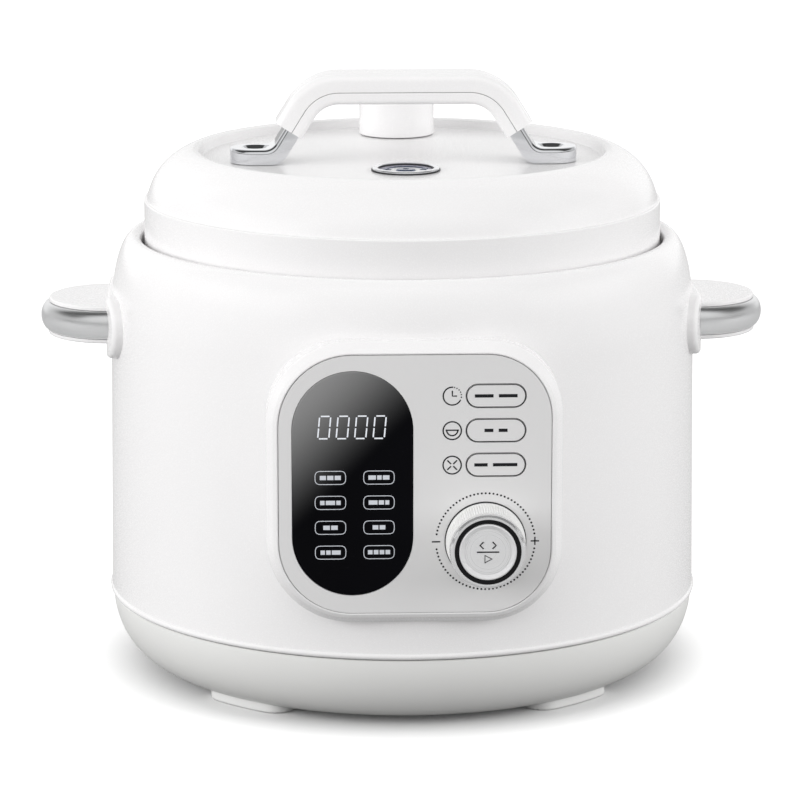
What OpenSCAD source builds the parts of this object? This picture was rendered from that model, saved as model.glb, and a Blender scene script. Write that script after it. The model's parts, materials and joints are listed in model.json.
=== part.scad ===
// Electric pressure cooker, five litre class.
// +Z is up and the control panel faces -Y. The origin is on the surface that the
// feet rest on, under the middle of the object. All sizes are in millimetres.

/* [Housing] */
// Outer radius of the housing at its widest, the bead above the base
body_r = 143.4; // [142.5:0.1:144]
// Outer radius of the housing where its shoulder begins
shoulder_r = 141; // [140.5:0.1:141.5]
// Height of the seam between base and housing
seam_z = 37; // [36:0.5:38]
// Height at which the shoulder begins
shoulder_z = 172; // [170:0.5:174]
// Height of the rounded top edge of the housing
shell_top_z = 211.5; // [211:0.1:212]
// Wall thickness of the plastic mouldings
wall = 2.4; // [2:0.1:2.6]

/* [Pots] */
// Inner radius of the inner pot
pot_r = 105.5; // [104:0.5:106]
// Height of the inner pot's underside
pot_floor_z = 52; // [51:0.5:53]
// Height of the shelf in the outer pot that the inner pot hangs on
shelf_z = 187; // [186.5:0.1:187.5]

/* [Lid] */
// Outer radius of the lid's skirt
skirt_r = 124.5; // [124:0.1:124.8]
// Height of the ridge between skirt and dome
ridge_z = 228.5; // [227:0.5:230]
// Height of the rim around the recessed top of the lid
lid_rim_z = 252.5; // [252:0.5:254]
// Height of the recessed top of the lid
lid_floor_z = 248; // [247.5:0.5:249]
// Height of the top of the lid's grip
grip_top_z = 291.2; // [289:0.2:293]
// Distance of the grip in front of the middle of the lid
grip_front = 16; // [12:1:18]
// Distance of the steam valve behind the middle of the lid
valve_back = 74; // [72:0.5:75]
// Distance of the float valve in front of the middle of the lid
float_front = 44; // [43:0.5:46]

/* [Panel] */
// Distance of the panel's face in front of the middle of the body
panel_y = 149.5; // [149:0.1:150.5]
// Width of the panel plate
plate_w = 123; // [121:1:124]
// Height of the panel plate
plate_h = 119.2; // [118:0.2:120]
// Height of the middle of the panel plate
panel_z = 121.3; // [120:0.1:122]
// Travel of the three pill keys
key_travel = 0.8; // [0.4:0.1:0.8]

/* [Side handles] */
// Distance of each side handle's end from the middle of the body
handle_reach = 175; // [172:1:178]
// Height of the top of the side handles
handle_top_z = 181; // [180:0.5:182]

/* [Hidden] */

$fn = 96;
tiny = 0.01;
white = [0.95, 0.95, 0.94];
satin = [0.82, 0.82, 0.83];
steel = [0.72, 0.73, 0.75];
chrome = [0.85, 0.86, 0.88];
dark = [0.08, 0.08, 0.09];
board = [0.12, 0.35, 0.2];

// Housing
shoulder_top_r = 129.6;
mouth_r = 126;
roll_r = shoulder_top_r - mouth_r;
lip_z = 202;
bead_h = 3.2;

// Base
base_top_r = 142;
base_bottom_r = 114;
base_bottom_z = 3;
base_lip_r = 138.9;
base_lip_t = 2;
base_lip_h = 7;
plate_r = 99;
plate_z = 3.6;
board_posts = [[-20, 57], [20, 57], [-20, 89], [20, 89]];
power_board_z = 9;
post_r = 5;
post_pitch_r = 107;
post_bore_r = 1.4;
post_angles = [0, 90, 180, 270];
foot_angles = [-131, -49, 49, 131];
foot_span = 24;
foot_in_r = 103;
foot_out_r = 122.4;
foot_blank_h = 12;

// Pots, locking ring and lid lugs
pot_t = 1.5;
pot_flange_r = 112.6;
outer_pot_r = 110;
steel_t = 1.2;
outer_pot_floor_z = 36;
outer_pot_hole_r = 17;
collar_t = 1.6;
collar_z = 190;
hotplate_r = 92;
hotplate_z = 45;
element_pitch_r = 66;
element_r = 3.2;
sensor_r = 14;
sensor_stem_r = 6;
sensor_stem_z = 26;
sensor_top_gap = 0.4;
sensor_t = 4;
spring_plate_z = 30;
spring_plate_t = 1.5;
lock_r = 117.8;
lock_t = 1.5;
lock_lug_z = 203.2;
lock_top_z = 206;
lock_lug_r = 113;
lug_count = 8;
lug_span = 21;
lug_pitch = 360 / lug_count;
lid_rim_r = 112.2;
lid_lug_r = 116.8;
lid_lug_z = 199.5;
lid_lug_h = 2.7;
lid_rim_bottom_z = 196;
lid_rim_top_z = 212;
lid_plate_z = 216;
lid_plate_flat_r = 98;
skirt_t = 2.2;
skirt_bottom_z = 196;
recess_r = 97.5;
lid_post_r = 4;
lid_post_pitch_r = 84;

// Steam valve
valve_hole_r = 8;
pipe_r = 5;
pipe_bore_r = 2;
pipe_bottom_z = 208;
pipe_top_z = 259.5;
block_cap_r = 12;
block_cap_z = 204;
valve_r = 18.6;
valve_top_z = 268;
valve_gap = 0.4;
running_gap = 0.08;
fit_gap = 0.1;

// Float valve
float_hole_r = 11;
float_ring_r = 16.3;
float_dish_r = 13.2;
float_pin_r = 4;
float_head_r = 6;
float_bottom_z = 206;
float_seal_z = 208.5;

// Grip: the leg leaves the straight bar on an arc and slopes down
grip_half_w = 12;
grip_arc_x = 36;
grip_arc_r = 19;
grip_slope = 58;
grip_split = 8.9;
grip_t = 14.5;
grip_leg = 16.6;
bracket_out = 5.1;
bracket_in = 13;
bracket_foot_x = 70.8;
bracket_foot_t = 7.4;
bracket_screw_r = 2.2;
bracket_thread_r = 1.6;
bracket_sink_r = 6.6;

// Panel
plate_t = 2;
plate_left_r = 33;
plate_right_r = 29;
frame_bevel_w = 5.6;
frame_bevel_d = 5;
frame_back_y = 118;
pocket_w = 113;
pocket_h = 109;
pocket_corner_r = 22;
lens_x = -28.2;
lens_z = 121.9;
lens_w = 54.5;
lens_h = 103.6;
lens_t = 1.6;
key_x = 36.4;
key_w = 26.7;
key_h = 10.5;
key_top_z = 162.1;
key_pitch = 15.9;
key_gap = 0.4;
key_flange = 1;
key_flange_t = 0.8;
key_shoulder_y = panel_y - plate_t - 0.3;
key_back_y = key_shoulder_y - key_flange_t;
switch_h = 0.9;
board_y = 143.6;
board_t = 1.6;
board_w = 110;
board_h = 106;
board_corner_r = 18;
case_depth = 10;
case_wall = 1.5;
knob_x = 31.9;
knob_z = 94.7;
knob_base_r = 18.1;
knob_face_r = 16.8;
knob_h = 19.8;
knob_gap = 0.5;
knob_web_t = 4;
band_r = 15;
band_in_r = 13.2;
band_d = 3;
button_r = 12.9;
button_proud = 0.2;
hub_r = 6;
stem_r = 4;
start_travel = 1;

// Side handles
ear_half_w = 33;
ear_corner_r = 25;
ear_root_x = 132;
band_h = 13;
band_t = 1.2;
ear_top_t = 3.4;
boss_half_l = 44;
boss_half_h = 14.5;
boss_proud = 4;
boss_z = 170.5;

// Rear fittings
cup_w = 52;
cup_bottom_z = 150;
cup_top_z = 191.5;
spout_w = 12;
spout_h = 6.5;
spout_z = 192.5;
spout_t = 1.5;
spout_end_y = 149.5;
cup_gap = 0.5;
cup_y = 169.5;
cup_wall = 1.8;
cup_corner_r = 8;
inlet_z = 66;
inlet_w = 34;
inlet_h = 26;
inlet_mouth_w = 24.6;
inlet_mouth_h = 17;
inlet_face_y = 146;
inlet_back_y = 120;
inlet_depth = 19;

// Points on an ellipse arc from angle a to angle b
function arc(x, z, rx, rz, a, b, n = 10) =
  [for (i = [0:n]) let (t = a + (b - a) * i / n) [x + rx * cos(t), z + rz * sin(t)]];

// Points on the circular arc from p to q that bulges right of the way by h
function bulge(p, q, h, n = 10) =
  let (c = norm(q - p), r = (c * c / 4 + h * h) / (2 * h), u = (q - p) / c,
       o = (p + q) / 2 + [-u[1], u[0]] * (r - h), s = 2 * asin(c / 2 / r),
       a = atan2(p[1] - o[1], p[0] - o[0]))
  [for (i = [0:n]) let (t = a + s * i / n) o + abs(r) * [cos(t), sin(t)]];

// Outline of the housing's outside, from the seam up to its top edge
function shell_line(gap = 0) = concat(
  arc(body_r + gap - bead_h / 2, seam_z + bead_h / 2, bead_h / 2, bead_h / 2, -90, 60, 5),
  arc(shoulder_top_r + gap, shoulder_z, shoulder_r - shoulder_top_r, shell_top_z - shoulder_z, 0, 90, 14));

// Outline of the base bowl's outside, from the seam down to its flat bottom
function base_line() = arc(base_bottom_r, seam_z, base_top_r - base_bottom_r,
  seam_z - base_bottom_z, 0, -90, 10);

module at(a, r, z = 0) {
  rotate([0, 0, a]) translate([r, 0, z]) children();
}

module tube(r_out, r_in, h) {
  difference() {
    cylinder(r = r_out, h = h);
    translate([0, 0, -tiny]) cylinder(r = r_in, h = h + 2 * tiny);
  }
}

// Rounded rectangle with its own corner radius at the left and at the right
module panel_outline(w, h, left_r, right_r) {
  polygon(concat(
    arc(w / 2 - right_r, h / 2 - right_r, right_r, right_r, 0, 90, 12),
    arc(left_r - w / 2, h / 2 - left_r, left_r, left_r, 90, 180, 12),
    arc(left_r - w / 2, left_r - h / 2, left_r, left_r, 180, 270, 12),
    arc(w / 2 - right_r, right_r - h / 2, right_r, right_r, 270, 360, 12)));
}

// Rounded rectangle from true arcs
module round_rect(w, h, r) {
  square([w - 2 * r, h], center = true);
  square([w, h - 2 * r], center = true);
  for (x = [-1, 1], y = [-1, 1])
    translate([x * (w / 2 - r), y * (h / 2 - r)]) circle(r = r);
}

// Stands an XZ outline up at the front, from depth y_front back to y_back
module facing(y_front, y_back) {
  translate([0, -y_back, 0]) rotate([90, 0, 0]) linear_extrude(y_front - y_back) children();
}

// Solid of the housing's outside, grown by the gap that other mouldings keep from it
module shell_outside() {
  rotate_extrude() polygon(concat([[0, seam_z]], shell_line(fit_gap), [[0, shell_top_z]]));
}

module base_outside() {
  rotate_extrude() polygon(concat([[0, seam_z]], base_line(), [[0, base_bottom_z]]));
}

// ---------- Housing and base ----------

module outer_shell() {
  inner_r = shoulder_r - wall;
  color(white) difference() {
    rotate_extrude() polygon(concat(
      shell_line(),
      arc(shoulder_top_r, shell_top_z - roll_r, roll_r, roll_r, 100, 180, 5),
      [[mouth_r, lip_z], [mouth_r + wall * 0.8, lip_z], [mouth_r + wall * 0.8, shell_top_z - 5]],
      arc(shoulder_top_r, shoulder_z, inner_r - shoulder_top_r, shell_top_z - wall - shoulder_z, 80, 0, 10),
      [[body_r - bead_h / 2 - wall * 0.7, seam_z + bead_h], [body_r - bead_h / 2 - wall * 0.7, seam_z]]));
    translate([0, 0, panel_z]) facing(body_r + 5, 90) round_rect(pocket_w, pocket_h, pocket_corner_r);
    translate([0, 0, inlet_z]) facing(-inlet_back_y, -body_r - 5)
      square([inlet_w - 4, inlet_h - 4], center = true);
    translate([-spout_w / 2 - fit_gap, 120, spout_z - fit_gap])
      cube([spout_w + 2 * fit_gap, 40, spout_h + 2 * fit_gap]);
  }
}

module base_shell() {
  color(white) union() {
    difference() {
      rotate_extrude() polygon(concat(
        base_line(),
        [[plate_r + 1, base_bottom_z], [plate_r + 1, base_bottom_z + wall]],
        arc(base_bottom_r, seam_z, base_top_r - base_bottom_r - wall,
            seam_z - base_bottom_z - wall, -90, 0, 10),
        [[base_lip_r - base_lip_t, seam_z], [base_lip_r - base_lip_t, seam_z + base_lip_h],
         [base_lip_r, seam_z + base_lip_h], [base_lip_r, seam_z]]));
      for (a = post_angles) at(a, post_pitch_r) cylinder(r = post_bore_r, h = 20);
    }
    for (a = post_angles) at(a, post_pitch_r, base_bottom_z + 2)
      tube(post_r, post_bore_r, outer_pot_floor_z - base_bottom_z - 2);
  }
}

// Vented plate in the middle of the base, with the posts of the power board
module base_plate() {
  color(steel) union() {
    difference() {
      translate([0, 0, plate_z]) cylinder(r = plate_r + 0.8, h = steel_t);
      for (a = [0:30:330]) rotate([0, 0, a]) translate([58, -2, 0]) cube([26, 4, 20]);
    }
    for (p = board_posts) translate([p[0], p[1], plate_z + steel_t])
      cylinder(r = 2.5, h = power_board_z - plate_z - steel_t);
  }
}

module base_screws() {
  color(steel) for (a = post_angles) at(a, post_pitch_r, base_bottom_z - 1.6) {
    cylinder(r1 = 2.8, r2 = 3.4, h = 1.6);
    translate([0, 0, 1.6]) cylinder(r = post_bore_r, h = 16);
  }
}

module foot(i) {
  color(white) difference() {
    rotate([0, 0, foot_angles[i] - foot_span / 2]) rotate_extrude(angle = foot_span)
      translate([foot_in_r, 0]) square([foot_out_r - foot_in_r, foot_blank_h]);
    base_outside();
  }
}

// ---------- Pots and heating ----------

module lock_lugs() {
  for (i = [0:lug_count - 1])
    rotate([0, 0, (i + 0.5) * lug_pitch - lug_span / 2])
      rotate_extrude(angle = lug_span)
        translate([lock_lug_r, lock_lug_z]) square([lock_r - lock_lug_r + 0.5, lock_top_z - lock_lug_z]);
}

module outer_pot() {
  r = outer_pot_r;
  t = steel_t;
  color(steel) union() {
    rotate_extrude() polygon([
      [outer_pot_hole_r, outer_pot_floor_z], [r + t, outer_pot_floor_z], [r + t, shelf_z - lock_t],
      [lock_r + lock_t, shelf_z - lock_t], [lock_r + lock_t, lock_top_z], [lock_r, lock_top_z],
      [lock_r, shelf_z], [r, shelf_z], [r, outer_pot_floor_z + t],
      [outer_pot_hole_r, outer_pot_floor_z + t]]);
    lock_lugs();
  }
}

// Gutter round the locking ring, with the spout that drains it to the rear
module rim_collar() {
  in_r = lock_r + lock_t;
  out_r = mouth_r + 0.4 + spout_t;
  color(white) difference() {
    union() {
      rotate_extrude() polygon([
        [in_r, collar_z], [out_r, collar_z], [out_r, lip_z], [out_r - spout_t, lip_z],
        [out_r - spout_t, collar_z + collar_t], [in_r + collar_t, collar_z + collar_t],
        [in_r + collar_t, lock_top_z - 1], [in_r, lock_top_z - 1]]);
      translate([-spout_w / 2, out_r - spout_t, spout_z])
        cube([spout_w, spout_end_y - out_r + spout_t, spout_h]);
    }
    translate([spout_t - spout_w / 2, mouth_r - 4, spout_z + spout_t])
      cube([spout_w - 2 * spout_t, 50, spout_h - 2 * spout_t]);
  }
}

module inner_pot() {
  r = pot_r + pot_t;
  color(steel) rotate_extrude() polygon(concat(
    [[0, pot_floor_z]],
    arc(r - 9, pot_floor_z + 9, 9, 9, -90, 0, 6),
    [[r, shelf_z], [pot_flange_r, shelf_z], [pot_flange_r, shelf_z + 1.5], [pot_r, shelf_z + 1.5]],
    arc(pot_r - 8, pot_floor_z + pot_t + 8, 8, 8, 0, -90, 6),
    [[0, pot_floor_z + pot_t]]));
}

// Cast plate under the inner pot, on three legs
module heating_plate() {
  hole_r = outer_pot_hole_r + 1;
  color(steel) union() {
    rotate_extrude() polygon([
      [hole_r, hotplate_z], [hotplate_r - 4, hotplate_z], [hotplate_r, hotplate_z + 3],
      [hotplate_r, pot_floor_z - 1], [60, pot_floor_z - 0.3], [hole_r, pot_floor_z - 0.3]]);
    for (a = [30:120:270]) at(a, element_pitch_r + 14, outer_pot_floor_z + steel_t)
      cylinder(r = 4, h = hotplate_z - outer_pot_floor_z - steel_t);
  }
}

module heating_element() {
  color(dark) rotate([0, 0, 20]) rotate_extrude(angle = 320)
    translate([element_pitch_r, hotplate_z - element_r - 0.05]) circle(r = element_r, $fn = 24);
}

// Bridge under the outer pot that carries the sensor's spring
module spring_plate() {
  color(steel) difference() {
    translate([-30, -70, spring_plate_z]) cube([60, 140, outer_pot_floor_z - spring_plate_z]);
    translate([-31, -64, spring_plate_z + spring_plate_t]) cube([62, 128, outer_pot_floor_z]);
    translate([0, 0, spring_plate_z - 1]) cylinder(r = sensor_stem_r + 0.5, h = 10);
  }
}

module sensor_cup() {
  top = pot_floor_z - sensor_top_gap;
  color(chrome) union() {
    translate([0, 0, top - sensor_t]) cylinder(r = sensor_r, h = sensor_t);
    translate([0, 0, sensor_stem_z]) cylinder(r = sensor_stem_r, h = top - sensor_t - sensor_stem_z);
  }
}

module sensor_spring() {
  bottom = spring_plate_z + spring_plate_t;
  color(steel) translate([0, 0, bottom]) tube(9, 7.4, pot_floor_z - sensor_top_gap - sensor_t - bottom);
}

module thermal_fuse() {
  color(white) translate([34, -4, outer_pot_floor_z - 2.2]) rotate([0, 90, 0]) cylinder(r = 2.2, h = 22);
}

module pressure_switch() {
  color(dark) translate([-66, -12, outer_pot_floor_z - 12]) cube([26, 24, 12]);
}

module power_board() {
  color(board) translate([-38, 52, power_board_z]) cube([76, 42, board_t]);
}

// Relay, transformer and capacitor
module power_parts() {
  z = power_board_z + board_t;
  color(dark) translate([-34, 58, z]) cube([16, 20, 15]);
  color([0.75, 0.65, 0.2]) translate([-12, 56, z]) cube([22, 20, 17]);
  color(dark) translate([24, 68, z]) cylinder(r = 6, h = 16);
}

// ---------- Rear fittings ----------

module inlet_socket() {
  color(dark) difference() {
    translate([0, 0, inlet_z]) union() {
      facing(-inlet_back_y, -inlet_face_y) square([inlet_w - 4.4, inlet_h - 4.4], center = true);
      difference() {
        facing(-138, -inlet_face_y) round_rect(inlet_w, inlet_h, 3);
        translate([0, 0, -inlet_z]) shell_outside();
      }
    }
    translate([0, 0, inlet_z]) facing(-inlet_face_y + inlet_depth, -inlet_face_y - 1)
      square([inlet_mouth_w, inlet_mouth_h], center = true);
  }
}

module inlet_pins() {
  y0 = inlet_face_y - inlet_depth;
  color(chrome) for (p = [[-7, -2], [7, -2], [0, 3]])
    translate([p[0] - 1, y0, inlet_z + p[1] - 2]) cube([2, 12, 4]);
}

module cup_block(inset, bottom) {
  w = cup_w - 2 * inset;
  translate([0, 0, bottom]) linear_extrude(cup_top_z - bottom + (inset > 0 ? 1 : 0)) difference() {
    translate([0, (cup_y - inset + 120) / 2]) round_rect(w, cup_y - inset - 120, cup_corner_r - inset);
    circle(r = shoulder_r + 1 + cup_gap + inset);
  }
}

module condensate_cup() {
  color(white) difference() {
    cup_block(0, cup_bottom_z);
    cup_block(cup_wall, cup_bottom_z + cup_wall);
  }
}

// ---------- Control panel ----------

module plate_shape(grow = 0) {
  panel_outline(plate_w + 2 * grow, plate_h + 2 * grow, plate_left_r + grow, plate_right_r + grow);
}

module panel_frame() {
  lip = 0.8;
  color(white) difference() {
    translate([0, 0, panel_z]) union() {
      hull() {
        facing(panel_y, panel_y - tiny) plate_shape(lip);
        facing(panel_y - frame_bevel_d, panel_y - frame_bevel_d - tiny) plate_shape(frame_bevel_w);
      }
      facing(panel_y - frame_bevel_d, frame_back_y) plate_shape(frame_bevel_w);
    }
    shell_outside();
    translate([0, 0, panel_z]) facing(panel_y + 1, panel_y - plate_t) plate_shape();
    translate([0, 0, panel_z]) facing(panel_y, frame_back_y - 1)
      round_rect(pocket_w, pocket_h, pocket_corner_r);
  }
}

module pill(w, h) {
  translate([-(w - h) / 2, 0]) circle(r = h / 2);
  translate([(w - h) / 2, 0]) circle(r = h / 2);
  square([w - h, h], center = true);
}

module panel_plate() {
  color(satin) difference() {
    translate([0, 0, panel_z]) facing(panel_y, panel_y - plate_t) plate_shape();
    translate([lens_x, 0, lens_z]) facing(panel_y + 1, panel_y - plate_t - 1)
      rotate([0, 0, 90]) pill(lens_h + 0.4, lens_w + 0.4);
    for (i = [0:2]) translate([key_x, 0, key_top_z - i * key_pitch])
      facing(panel_y + 1, panel_y - plate_t - 1) pill(key_w + 2 * key_gap, key_h + 2 * key_gap);
    translate([knob_x, 0, knob_z]) facing(panel_y + 1, panel_y - plate_t - 1) circle(r = 8.5);
  }
}

module display_lens() {
  color(dark) translate([lens_x, 0, lens_z]) facing(panel_y + 0.2, panel_y + 0.2 - lens_t)
    rotate([0, 0, 90]) pill(lens_h, lens_w);
}

module display_module() {
  color(dark) difference() {
    translate([lens_x, 0, lens_z]) facing(panel_y - plate_t, board_y) square([46, 88], center = true);
    translate([lens_x, 0, lens_z + 27]) facing(panel_y, panel_y - lens_t - 1) square([36, 14], center = true);
  }
}

module control_board() {
  color(board) translate([0, 0, panel_z]) facing(board_y, board_y - board_t)
    round_rect(board_w, board_h, board_corner_r);
}

module control_case() {
  back = board_y - board_t;
  color(dark) difference() {
    translate([0, 0, panel_z]) facing(back, back - case_depth) round_rect(board_w, board_h, board_corner_r);
    translate([0, 0, panel_z]) facing(back + 1, back - case_depth + case_wall)
      round_rect(board_w - 2 * case_wall, board_h - 2 * case_wall, board_corner_r - case_wall);
  }
}

module key(i) {
  color(satin) translate([key_x, 0, key_top_z - i * key_pitch]) {
    facing(panel_y + 0.1, key_shoulder_y) pill(key_w, key_h);
    facing(key_shoulder_y, key_back_y) pill(key_w + 2 * key_flange, key_h + 2 * key_flange);
  }
}

// Switches behind the keys. A plunger ends just short of where its key comes to rest
module key_switches() {
  color(dark) for (i = [0:2]) translate([key_x, 0, key_top_z - i * key_pitch]) {
    facing(board_y + switch_h, board_y) square([6, 6], center = true);
    facing(key_back_y - key_travel - fit_gap, board_y + switch_h) circle(r = 1.7);
  }
}

module encoder() {
  color(steel) translate([knob_x, 0, knob_z]) difference() {
    union() {
      facing(board_y + 3.4, board_y) square([15, 15], center = true);
      facing(panel_y + 10, board_y + 3.4) circle(r = hub_r);
    }
    facing(panel_y + 11, board_y + 2) circle(r = stem_r + running_gap);
  }
}

// Shapes of the knob are turned about the panel's normal
module turned() {
  translate([knob_x, -panel_y, knob_z]) rotate([90, 0, 0]) rotate_extrude() children();
}

module knob_ring() {
  color(white) turned() polygon([
    [hub_r + running_gap, knob_gap], [knob_base_r, knob_gap], [knob_face_r + 0.3, knob_h - 1],
    [knob_face_r - 0.7, knob_h], [band_r, knob_h], [band_r, knob_h - band_d],
    [band_in_r + 0.3, knob_h - band_d], [band_in_r + 0.3, knob_gap + knob_web_t],
    [hub_r + running_gap, knob_gap + knob_web_t]]);
}

module knob_band() {
  color(dark) turned() translate([band_in_r, knob_h - band_d]) square([band_r - band_in_r, band_d]);
}

module start_button() {
  top = knob_h + button_proud;
  color(satin) turned() polygon([
    [0, 1 + start_travel], [stem_r, 1 + start_travel], [stem_r, top - 5], [button_r, top - 5],
    [button_r, top - 0.8], [button_r - 0.5, top], [10.4, top - 0.9], [0, top - 0.6]]);
}

// ---------- Side handles (built at +X) ----------

module ear_outline(inset) {
  r = ear_corner_r - inset;
  hull() {
    for (s = [-1, 1]) {
      translate([handle_reach - ear_corner_r, s * (ear_half_w - ear_corner_r)]) circle(r = r, $fn = 64);
      translate([ear_root_x, s * (ear_half_w + 4 - inset) - s]) circle(r = 1, $fn = 16);
    }
  }
}

module ear(inset, z, h) {
  difference() {
    translate([0, 0, z]) linear_extrude(h) ear_outline(inset);
    cylinder(r = shoulder_r + boss_proud + 0.6, h = 300);
  }
}

module handle_top() {
  color(white) ear(0, handle_top_z - ear_top_t, ear_top_t);
}

module handle_band() {
  z = handle_top_z - ear_top_t - band_h;
  color(steel) difference() {
    ear(0, z, band_h);
    translate([0, 0, z - 1]) linear_extrude(band_h + 2) ear_outline(band_t);
  }
}

module handle_base() {
  z = handle_top_z - ear_top_t - band_h;
  color(white) union() {
    difference() {
      ear(band_t, z, band_h);
      translate([0, 0, z - 1]) linear_extrude(band_h - 2) ear_outline(band_t + 3);
    }
    difference() {
      ear(0, z - 1.4, 1.4);
      translate([0, 0, z - 3]) linear_extrude(6) ear_outline(band_t + 3);
    }
    difference() {
      translate([100, 0, boss_z]) rotate([90, 0, 90]) linear_extrude(60)
        pill(2 * boss_half_l, 2 * boss_half_h);
      shell_outside();
      difference() {
        cylinder(r = 200, h = 300);
        translate([0, 0, -1]) cylinder(r = shoulder_r + boss_proud + 0.6, h = 302);
      }
    }
  }
}

// ---------- Lid ----------

module lid_cover() {
  top = [recess_r + 4.5, lid_rim_z];
  foot = [skirt_r - 1.6, ridge_z + 1];
  t = skirt_t;
  color(white) union() {
    difference() {
      rotate_extrude() polygon(concat(
        [[skirt_r - t, skirt_bottom_z], [skirt_r, skirt_bottom_z],
         [skirt_r, ridge_z - 0.6], [skirt_r - 0.6, ridge_z]],
        bulge(foot, top, 4.2, 12),
        arc(recess_r + 3, lid_rim_z - 1.6, 1.6, 1.6, 90, 180, 4),
        [[recess_r, lid_floor_z], [0, lid_floor_z], [0, lid_floor_z - t], [recess_r + 1.2, lid_floor_z - t]],
        bulge(top - [0.2, t + 0.4], foot - [t, 0.4], -4.2, 12)));
      translate([0, valve_back, lid_floor_z - 5]) cylinder(r = valve_hole_r, h = 10);
      translate([0, -float_front, lid_floor_z - 5]) cylinder(r = float_hole_r, h = 10);
      for (s = [-1, 1]) translate([s * bracket_foot_x, -grip_front, lid_floor_z - 5])
        cylinder(r = bracket_thread_r, h = 10);
    }
    for (a = [0:90:270]) at(a + 45, lid_post_pitch_r, lid_plate_z + steel_t)
      tube(lid_post_r, 1.4, lid_floor_z - skirt_t - lid_plate_z - steel_t);
  }
}

module lid_plate() {
  t = steel_t;
  color(steel) union() {
    difference() {
      rotate_extrude() polygon([
        [lid_rim_r - t, lid_rim_bottom_z], [lid_rim_r, lid_rim_bottom_z], [lid_rim_r, lid_rim_top_z],
        [lid_plate_flat_r, lid_plate_z + t], [0, lid_plate_z + t], [0, lid_plate_z],
        [lid_plate_flat_r - 0.3, lid_plate_z], [lid_rim_r - t, lid_rim_top_z - 0.9]]);
      translate([0, valve_back, lid_plate_z - 5]) cylinder(r = pipe_r, h = 10);
      translate([0, -float_front, lid_plate_z - 5]) cylinder(r = float_pin_r + running_gap, h = 10);
      for (a = [45:90:315]) at(a, lid_post_pitch_r, lid_plate_z - 5) cylinder(r = 1.5, h = 10);
    }
    for (i = [0:lug_count - 1]) rotate([0, 0, i * lug_pitch - lug_span / 2]) rotate_extrude(angle = lug_span)
      translate([lid_rim_r - 0.3, lid_lug_z]) square([lid_lug_r - lid_rim_r + 0.3, lid_lug_h]);
  }
}

module lid_screws() {
  color(steel) for (a = [45:90:315]) at(a, lid_post_pitch_r, lid_plate_z - 2) {
    cylinder(r = 3, h = 2);
    translate([0, 0, 2]) cylinder(r = 1.4, h = 14);
  }
}

module sealing_ring() {
  r = lid_rim_r - steel_t - 0.4;
  z = shelf_z + 1.9;
  color([0.9, 0.9, 0.88]) rotate_extrude() polygon([
    [r - 7, z], [r - 0.2, z], [r, z + 8.8], [r - 4, z + 8.8], [r - 4, z + 3.4], [r - 5.4, z + 3.4],
    [r - 5.4, z + 8], [r - 7, z + 8]]);
}

module vent_pipe() {
  color(steel) translate([0, valve_back, pipe_bottom_z])
    tube(pipe_r, pipe_bore_r, pipe_top_z - pipe_bottom_z);
}

module vent_nut() {
  color(steel) translate([0, valve_back, lid_plate_z + steel_t]) difference() {
    cylinder(r = 9, h = 6, $fn = 6);
    translate([0, 0, -1]) cylinder(r = pipe_r, h = 8);
  }
}

module anti_block_cap() {
  color(steel) translate([0, valve_back, block_cap_z]) difference() {
    union() {
      cylinder(r = block_cap_r, h = 2);
      tube(block_cap_r, block_cap_r - steel_t, lid_plate_z - block_cap_z);
    }
    for (a = [0:45:315]) rotate([0, 0, a]) translate([8, -1.5, 4]) cube([8, 3, 5]);
  }
}

module steam_valve_cap() {
  color(white) translate([0, valve_back, lid_floor_z + valve_gap]) difference() {
    union() {
      cylinder(r = valve_r, h = valve_top_z - lid_floor_z - valve_gap - 1.5);
      translate([0, 0, valve_top_z - lid_floor_z - valve_gap - 1.5])
        cylinder(r1 = valve_r, r2 = valve_r - 1.5, h = 1.5);
    }
    translate([0, 0, -1]) cylinder(r = valve_r - 2.2, h = valve_top_z - lid_floor_z - valve_gap - 1.8);
  }
}

module steam_valve_weight() {
  z = lid_floor_z + 2.5;
  top = valve_top_z - 2.8;
  color(steel) translate([0, valve_back, z]) difference() {
    cylinder(r = 9, h = top - z);
    translate([0, 0, -1]) cylinder(r = pipe_r + running_gap, h = pipe_top_z + 0.6 - z + 1);
  }
}

module float_ring() {
  color(chrome) translate([0, -float_front, lid_floor_z]) rotate_extrude() polygon(concat(
    [[float_dish_r, 0], [float_ring_r, 0]],
    arc(float_ring_r - 1.2, 0.4, 1.2, 1.2, 0, 90, 4),
    [[float_dish_r, 1.4]]));
}

module float_dish() {
  color(satin) translate([0, -float_front, lid_floor_z]) difference() {
    rotate_extrude() polygon([
      [float_pin_r + running_gap, -4], [10.8, -4], [10.8, 0], [float_dish_r, 0], [float_dish_r, 1.2],
      [9.6, 0.9], [7.6, -2.2], [float_pin_r + running_gap, -2.2]]);
    for (a = [-40, 0, 40]) rotate([0, 0, a - 90]) translate([10.2, -0.8, 0.5]) cube([1.6, 1.6, 4]);
  }
}

module float_pin() {
  float_head_z = lid_floor_z - 1.9;
  color([0.2, 0.25, 0.35]) translate([0, -float_front, 0]) union() {
    translate([0, 0, float_bottom_z]) cylinder(r = float_pin_r, h = float_head_z - float_bottom_z);
    translate([0, 0, float_head_z]) cylinder(r1 = float_head_r, r2 = float_head_r - 2, h = 2.6);
  }
}

module float_seal() {
  color([0.55, 0.2, 0.15]) translate([0, -float_front, float_seal_z]) tube(7, float_pin_r, 2.4);
}

// ---------- Grip ----------

// Right half of a line that runs inside the grip's outer outline by d
function grip_half(d) = let (r = grip_arc_r - d, z = grip_top_z - grip_arc_r)
  concat(
    r > 0 ? arc(grip_arc_x, z, r, r, 90, 90 - grip_slope, 8)
          : [[grip_arc_x, z] + r * [tan(grip_slope / 2), 1]],
    [[grip_arc_x, z] + r * [sin(grip_slope), cos(grip_slope)]
      + grip_leg * [cos(grip_slope), -sin(grip_slope)]]);

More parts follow.
